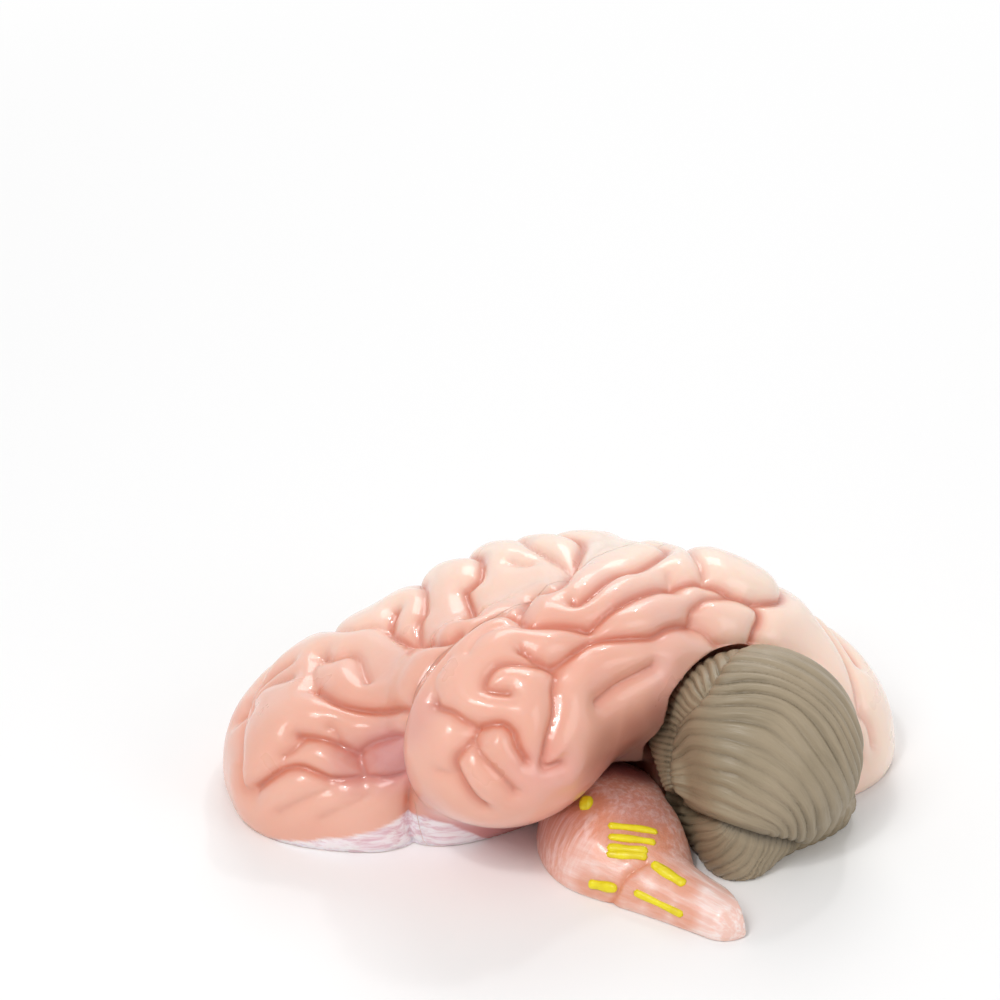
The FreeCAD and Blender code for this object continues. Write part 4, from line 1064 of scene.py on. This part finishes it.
def strokes_along(p, direction, fine, coarse):
    """Coordinates that run slowly along a brush direction and fast across it."""
    direction = np.array(direction) / np.linalg.norm(direction)
    across = np.cross(direction, ACROSS_BRUSH)
    across /= np.linalg.norm(across)
    other = np.cross(direction, across)
    return np.column_stack([fine * (p @ across), fine * (p @ other), coarse * (p @ direction)])


def stub_tint(points):
    """Orange tint round the nerve stubs."""
    ends = [point for stub in STUBS for point in curve_through(stub[:2], 2)]
    nearest = np.full(len(points), FAR_OFF)
    for place in from_board(brainstem, ends):
        nearest = np.minimum(nearest, np.linalg.norm(points - place, axis=1))
    return np.clip(SPOT_EDGE - nearest / STUB_TINT_REACH, 0, STUB_TINT)


def make_brainstem():
    """Half brainstem, smooth under its paint."""
    points, rings = skin_of(brainstem, BRAINSTEM_BOX, BRAINSTEM_CELL)
    normal = slope_at(brainstem, points)[0]
    belt = away_from(from_board(brainstem, curve_through(STEM_BELT)), points)
    sink = BELT_DEPTH * bolster(belt, BELT_REACH)
    sink += rounded_rim(points, LOWER_RIM_ROUND)
    moved = points - sink[:, None] * normal
    lean = STEM_PALE_LEAN * (STEM_PALE_X - points[:, 0])
    pale = fade((-points[:, 1] - STEM_PALE_FROM + lean) / STEM_PALE_FADE)
    paints = {"pale": pale,
              # painted shade in the groove between pons and medulla, and an orange tint round the nerve
              # stubs
              "tint": np.maximum(fade(1.0 - belt / BELT_REACH), stub_tint(points)),
              # painted shade near the top of the brainstem
              "shaded": spots(brainstem, STEM_SHADE_SPOTS, points),
              "brush": strokes_along(points, *BRUSH),
              "streak": strokes_along(points, *STREAK)}
    piece = mesh_from("brainstem_casting", moved, rings, paints)
    slice_flat(piece, (0, 0, 0), (0, 0, -1))
    x, y = (np.array(STEM_CUT_POINT) + STEM_PIN_ALONG * STEM_CUT_ALONG)[:2]
    out = -slant(STEM_PIN_TURN)[0]
    drill(piece, [((x, y, STEM_PIN_Z), out, STEM_PIN_HOLE, HOLE_DEPTH)])
    return piece


def strand(start, end, thick, number):
    """One yellow stub strand: a slightly lumpy rounded bar lying on the brainstem."""
    along = end - start
    length = np.linalg.norm(along)
    along /= length
    up = slope_at(brainstem, (0.5 * (start + end))[None])[0][0]
    up -= (up @ along) * along
    up /= np.linalg.norm(up)
    side = np.cross(along, up)
    size, turn, shift = STRAND_LUMPS
    points = []
    for row in range(STRAND_ROWS):
        t = row / (STRAND_ROWS - 1)
        end_away = min(t, 1.0 - t) * length
        swell = math.sqrt(max(0.0, 1.0 - (1.0 - min(1.0, end_away / (0.5 * thick))) ** 2))
        lumps = 1.0 + size * math.sin(turn * t + shift * number)
        radius = 0.5 * thick * swell * lumps
        centre = settle(brainstem, (start + along * (t * length))[None], 2)[0]
        for column in range(STRAND_SIDES):
            a = 2.0 * math.pi * column / STRAND_SIDES
            points.append(centre + radius * (math.cos(a) * side
                                             + STRAND_FLAT * math.sin(a) * up))
    rings = []
    for n in range(0, (STRAND_ROWS - 1) * STRAND_SIDES, STRAND_SIDES):
        for column in range(STRAND_SIDES):
            after = (column + 1) % STRAND_SIDES
            rings.append((n + column, n + STRAND_SIDES + column, n + STRAND_SIDES + after,
                          n + after))
    return np.array(points), np.array(rings)


def make_stubs():
    """All the nerve stubs as one painted piece."""
    ends = from_board(brainstem, [point for stub in STUBS for point in stub[:2]])
    all_points, all_rings = [], []
    count = 0
    for n, (_, _, thick, strands) in enumerate(STUBS):
        start, end = ends[2 * n], ends[2 * n + 1]
        up = slope_at(brainstem, (0.5 * (start + end))[None])[0][0]
        side = np.cross(end - start, up)
        side /= np.linalg.norm(side)
        for s in range(strands):
            shift = side * (s - 0.5 * (strands - 1)) * thick * 0.5
            width = thick / (0.5 + 0.5 * strands)
            points, rings = strand(start + shift, end + shift, width, n + 2 * s)
            all_points.append(points)
            all_rings.append(rings + count)
            count += len(points)
    piece = mesh_from("nerve_stubs", np.vstack(all_points), np.vstack(all_rings), {})
    with opened(piece) as work:
        bmesh.ops.remove_doubles(work, verts=work.verts, dist=WELD * MM)
        bmesh.ops.recalc_face_normals(work, faces=work.faces)
        for face in work.faces:
            face.smooth = True
    return piece


# Materials

def shade(red, green, blue):
    """Linear colour from the red, green and blue of a colour picker, 0 to 255."""
    values = [c / 255.0 for c in (red, green, blue)]
    linear = [v / 12.92 if v <= 0.04045 else ((v + 0.055) / 1.055) ** 2.4 for v in values]
    return (*linear, 1.0)


def grey(value):
    return (value, value, value, 1.0)


def feed(tree, node, values):
    """Give a node's inputs plain values, or link them to other nodes' outputs."""
    for key, value in values.items():
        if isinstance(value, bpy.types.NodeSocket):
            tree.links.new(value, node.inputs[key])
        else:
            node.inputs[key].default_value = value


def add(tree, kind, values, **settings):
    """New shader node with its settings and its inputs."""
    node = tree.nodes.new("ShaderNode" + kind)
    for name, value in settings.items():
        setattr(node, name, value)
    feed(tree, node, values)
    return node


def new_material(name):
    """New material, its node tree and its surface shader."""
    made = bpy.data.materials.new(name)
    made.use_nodes = True
    return made, made.node_tree, made.node_tree.nodes["Principled BSDF"]


def stored(tree, name, kind="Fac"):
    """A number or a place that was stored on the vertices."""
    return add(tree, "Attribute", {}, attribute_name=name).outputs[kind]


def noise(tree, scale, detail, roughness=0.5, place=None):
    """Noise over given places, or over the object's own, which are metres."""
    if place is None:
        place = add(tree, "TexCoord", {}).outputs["Object"]
    texture = add(tree, "TexNoise", {"Vector": place, "Scale": scale, "Detail": detail,
                                     "Roughness": roughness})
    return texture.outputs["Fac"]


def ramp(tree, source, *stops):
    """Colour ramp from pairs of position and colour."""
    node = add(tree, "ValToRGB", {"Fac": source})
    marks = node.color_ramp.elements
    while len(marks) < len(stops):
        marks.new(0.5)
    for mark, (position, colour) in zip(marks, stops):
        mark.position = position
        mark.color = colour
    return node.outputs["Color"]


def gloss(tree, source, low, high):
    """Roughness that wanders between two values."""
    return ramp(tree, source, (0.3, grey(low)), (0.7, grey(high)))


def mixed(tree, factor, a, b):
    """Colour a turning into colour b; each is a socket or a plain colour."""
    return add(tree, "Mix", {"Factor": factor, 6: a, 7: b}, data_type="RGBA").outputs[2]


def bump(tree, height, distance, strength):
    """Normal raised by a height, at most by a distance in metres."""
    values = {"Height": height, "Distance": distance, "Strength": strength}
    return add(tree, "Bump", values).outputs["Normal"]


def cortex_material():
    """Soft glossy flesh-coloured plastic, with painted shade in the folds, the hollows and the
    underside, and painted light on the crown.
    """
    made, tree, shader = new_material("cortex_plastic")
    colour = ramp(tree, noise(tree, 22.0, 2.0), (0.35, shade(237, 180, 159)),
                  (0.5, shade(232, 170, 148)), (0.65, shade(231, 166, 153)))
    crease_shade_ramp = ramp(tree, stored(tree, "crease"), (0.0, grey(0.0)), (0.35, grey(0.05)),
                   (0.65, grey(0.27)), (0.95, grey(0.85)))
    own_place = add(tree, "TexCoord", {}).outputs["Object"]
    along = add(tree, "Mapping", {"Vector": own_place, "Rotation": (0.0, 0.0, 0.3),
                                  "Scale": (0.8, 7.0, 7.0)}).outputs["Vector"]
    white = ramp(tree, noise(tree, 90.0, 4.0, 0.6, along), (0.36, shade(224, 184, 194)),
                 (0.54, shade(247, 236, 239)))
    # The paler paint comes first: painted light, where the light falls on the crown and the back
    for paint, over in ((stored(tree, "pale"), shade(252, 224, 206)),
                        # painted shade darkening the folds
                        (crease_shade_ramp, shade(210, 116, 88)),
                        # painted shade in the hollows over the pieces below
                        (stored(tree, "seat_shade"), shade(196, 124, 106)),
                        # mauve paint, partly painted shade on the underside
                        (stored(tree, "mauve"), shade(204, 132, 132)),
                        # painted shade under the temporal lobe
                        (stored(tree, "deep_shade"), shade(158, 84, 68)),
                        (stored(tree, "band"), white)):
        colour = mixed(tree, paint, colour, over)
    feed(tree, shader, {"Base Color": colour, "Subsurface Weight": 0.3,
                        "Subsurface Radius": FLESH_RADIUS, "Subsurface Scale": 0.004,
                        "Coat Weight": 0.6, "Coat Roughness": 0.05,
                        "Roughness": gloss(tree, noise(tree, 60.0, 3.0), 0.26, 0.4),
                        "Normal": bump(tree, noise(tree, 260.0, 3.0), 0.0003, 0.4)})
    return made


def cerebellum_material():
    """Satin grey-brown plastic, with painted shade between the leaves and painted shadow in the cleft
    and beside the collar's edge.
    """
    made, tree, shader = new_material("cerebellum_plastic")
    base = ramp(tree, noise(tree, 35.0, 3.0), (0.35, shade(166, 149, 124)),
                (0.65, shade(148, 133, 108)))
    lines = noise(tree, 1.0, 3.0, 0.55, stored(tree, "strands", "Vector"))
    fine = ramp(tree, lines, (0.3, grey(0.35)), (0.5, grey(0.0)), (0.75, grey(0.0)))
    # painted shade and painted shadow stored on the vertices
    dark = ramp(tree, stored(tree, "groove"), (0.0, grey(0.0)), (0.5, grey(0.3)),
                (1.0, grey(0.9)))
    lined = mixed(tree, fine, base, shade(112, 100, 78))
    feed(tree, shader, {"Base Color": mixed(tree, dark, lined, shade(72, 62, 44)),
                        "Roughness": gloss(tree, noise(tree, 90.0, 3.0), 0.38, 0.5),
                        "Normal": bump(tree, lines, 0.0009, 0.6)})
    return made


def brainstem_material():
    """Pink plastic with fine white brush strokes, paler and streaked down the medulla; painted shade in
    the belt groove and near the top, and an orange tint round the nerve stubs.
    """
    made, tree, shader = new_material("brainstem_paint")
    pale = stored(tree, "pale")
    brush, streak = [noise(tree, 1.0, 4.0, 0.6, stored(tree, name, "Vector"))
                     for name in ("brush", "streak")]
    strokes = mixed(tree, pale, brush, streak)
    flesh = mixed(tree, pale, shade(226, 160, 138), shade(240, 196, 182))
    light = mixed(tree, pale, shade(244, 208, 200), shade(250, 236, 232))
    white = ramp(tree, strokes, (0.44, grey(0.0)), (0.64, grey(0.8)))
    colour = mixed(tree, white, flesh, light)
    # painted shade in the belt groove, and an orange tint round the stubs
    colour = mixed(tree, stored(tree, "tint"), colour, shade(222, 142, 108))
    # painted shade near the top of the brainstem
    colour = mixed(tree, stored(tree, "shaded"), colour, shade(160, 92, 90))
    feed(tree, shader, {"Base Color": colour, "Subsurface Weight": 0.15,
                        "Subsurface Radius": FLESH_RADIUS, "Subsurface Scale": 0.003,
                        "Coat Weight": 0.4, "Coat Roughness": 0.15,
                        "Roughness": gloss(tree, strokes, 0.32, 0.45),
                        "Normal": bump(tree, strokes, 0.0006, 0.6)})
    return made


def cut_material(name, light, dark):
    """Bare plastic of the flat faces, faintly mottled and less glossy than the skin."""
    made, tree, shader = new_material(name)
    colour = ramp(tree, noise(tree, 60.0, 3.0), (0.35, shade(*light)), (0.65, shade(*dark)))
    feed(tree, shader, {"Base Color": colour,
                        "Roughness": gloss(tree, noise(tree, 150.0, 3.0), 0.42, 0.55),
                        "Normal": bump(tree, noise(tree, 500.0, 3.0), 0.0001, 0.5)})
    return made


def stub_material():
    """Thick yellow paint."""
    made, tree, shader = new_material("yellow_paint")
    colour = ramp(tree, noise(tree, 300.0, 2.0), (0.3, shade(240, 226, 20)),
                  (0.7, shade(226, 204, 16)))
    feed(tree, shader, {"Base Color": colour,
                        "Roughness": gloss(tree, noise(tree, 200.0, 2.0), 0.3, 0.42),
                        "Normal": bump(tree, noise(tree, 900.0, 2.0), 0.0003, 0.5)})
    return made


def steel_material():
    """Turned steel, faintly clouded."""
    made, tree, shader = new_material("pin_steel")
    colour = ramp(tree, noise(tree, 400.0, 3.0), (0.3, shade(206, 206, 204)),
                  (0.7, shade(176, 177, 178)))
    feed(tree, shader, {"Base Color": colour, "Metallic": 1.0,
                        "Roughness": gloss(tree, noise(tree, 900.0, 3.0), 0.24, 0.4),
                        "Normal": bump(tree, noise(tree, 2400.0, 2.0), 0.00005, 0.4)})
    return made


# Studio

def white_studio():
    """White all round for the camera and for reflections, plain soft light for the object."""
    world = bpy.data.worlds.new("studio")
    bpy.context.scene.world = world
    world.use_nodes = True
    tree = world.node_tree
    soft = tree.nodes["Background"]
    feed(tree, soft, {"Color": grey(1.0), "Strength": WORLD_LIGHT})
    plain = add(tree, "Background", {"Color": grey(1.0), "Strength": 1.0})
    path = add(tree, "LightPath", {})
    seen = path.outputs["Is Camera Ray"]
    for name in ("Is Glossy Ray", "Is Transmission Ray"):
        either = add(tree, "Math", {0: seen, 1: path.outputs[name]}, operation="MAXIMUM")
        seen = either.outputs["Value"]
    both = add(tree, "MixShader", {"Fac": seen, 1: soft.outputs["Background"],
                                   2: plain.outputs["Background"]})
    feed(tree, tree.nodes["World Output"], {"Surface": both.outputs["Shader"]})


def make_lamps():
    """Square soft boxes that face the model."""
    for name, place, side, power in LAMPS:
        data = bpy.data.lights.new(name, "AREA")
        data.size = side
        data.energy = power
        thing = bpy.data.objects.new(name, data)
        thing.location = place
        aim = Vector(LAMP_AIM) - Vector(place)
        thing.rotation_mode = "QUATERNION"
        thing.rotation_quaternion = aim.to_track_quat("-Z", "Y")
        bpy.context.scene.collection.objects.link(thing)


def whiten_far(tree, shader):
    """Let the table run out into plain white well away from the model, for the camera alone."""
    place = add(tree, "TexCoord", {}).outputs["Object"]
    reach = add(tree, "VectorMath", {0: place}, operation="LENGTH").outputs["Value"]
    far = add(tree, "MapRange", {"From Min": WHITEN_FROM, "From Max": WHITEN_TO, "Value": reach})
    seen = add(tree, "LightPath", {}).outputs["Is Camera Ray"]
    both = add(tree, "Math", {0: far.outputs["Result"], 1: seen}, operation="MULTIPLY")
    white = add(tree, "Emission", {"Color": grey(1.0), "Strength": 1.0})
    surface = add(tree, "MixShader", {"Fac": both.outputs["Value"], 1: shader.outputs["BSDF"],
                                      2: white.outputs["Emission"]})
    feed(tree, tree.nodes["Material Output"], {"Surface": surface.outputs["Shader"]})


def make_floor():
    """White table top that keeps the model's soft shadow."""
    bpy.ops.mesh.primitive_plane_add(size=TABLE_SIDE, location=(0.0, 0.0, -TABLE_DROP))
    floor = bpy.context.object
    floor.name = "table_top"
    made, tree, shader = new_material("white_table")
    feed(tree, shader, {"Base Color": grey(0.94), "Roughness": 0.7})
    whiten_far(tree, shader)
    floor.data.materials.append(made)


def make_camera():
    """Camera at the photograph's eye."""
    data = bpy.data.cameras.new("photo_camera")
    data.lens = LENS
    data.sensor_width = SENSOR
    data.clip_start = SEEN_FROM
    data.clip_end = SEEN_TO
    thing = bpy.data.objects.new("photo_camera", data)
    thing.location = Vector(EYE) * MM
    thing.rotation_euler = (math.radians(90.0 - EYE_TILT), 0.0, -math.radians(EYE_TURN))
    bpy.context.scene.collection.objects.link(thing)
    bpy.context.scene.camera = thing


def dress(piece, materials, body, slot, *nodes):
    """Give a piece its skin and cut-face materials, its CAD body and the node it stands for."""
    marks = [face.material_index for face in piece.data.polygons]
    piece.data.materials.clear()
    for material in materials:
        piece.data.materials.append(material)
    piece.data.polygons.foreach_set("material_index", marks)
    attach(piece, body)
    if nodes:
        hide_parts(*nodes)


def dress_pieces():
    """Make every casting and dress it."""
    castings = make_lobes()
    pink = (cortex_material(), cut_material("cut_pink", (238, 190, 168), (232, 178, 156)))
    dress(castings["cortex_front"], pink, "frontoparietal", "cortex", "frontoparietal_lobe")
    dress(castings["cortex_back"], pink, "temporo_occipital", "cortex", "temporo_occipital_lobe")
    brown = (cerebellum_material(), cut_material("cut_brown", (168, 152, 128), (158, 142, 118)))
    dress(make_cerebellum(), brown, "cerebellum", "cerebellum", "cerebellum_half")
    rose = (brainstem_material(), cut_material("cut_rose", (236, 188, 170), (230, 176, 156)))
    dress(make_brainstem(), rose, "brainstem", "brainstem", "brainstem_half")
    dress(make_stubs(), (stub_material(),), "brainstem", "brainstem")


def main():
    """The whole scene, with the pins kept from the frame."""
    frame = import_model()
    bpy.context.scene.view_settings.view_transform = "Standard"
    make_camera()
    white_studio()
    make_lamps()
    make_floor()
    dress_pieces()
    steel = steel_material()
    for name in ("lobe_pins", "cerebellum_pin", "brainstem_pin"):
        node = frame["nodes"][name]
        node.data.materials.clear()
        node.data.materials.append(steel)
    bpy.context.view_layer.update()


main()
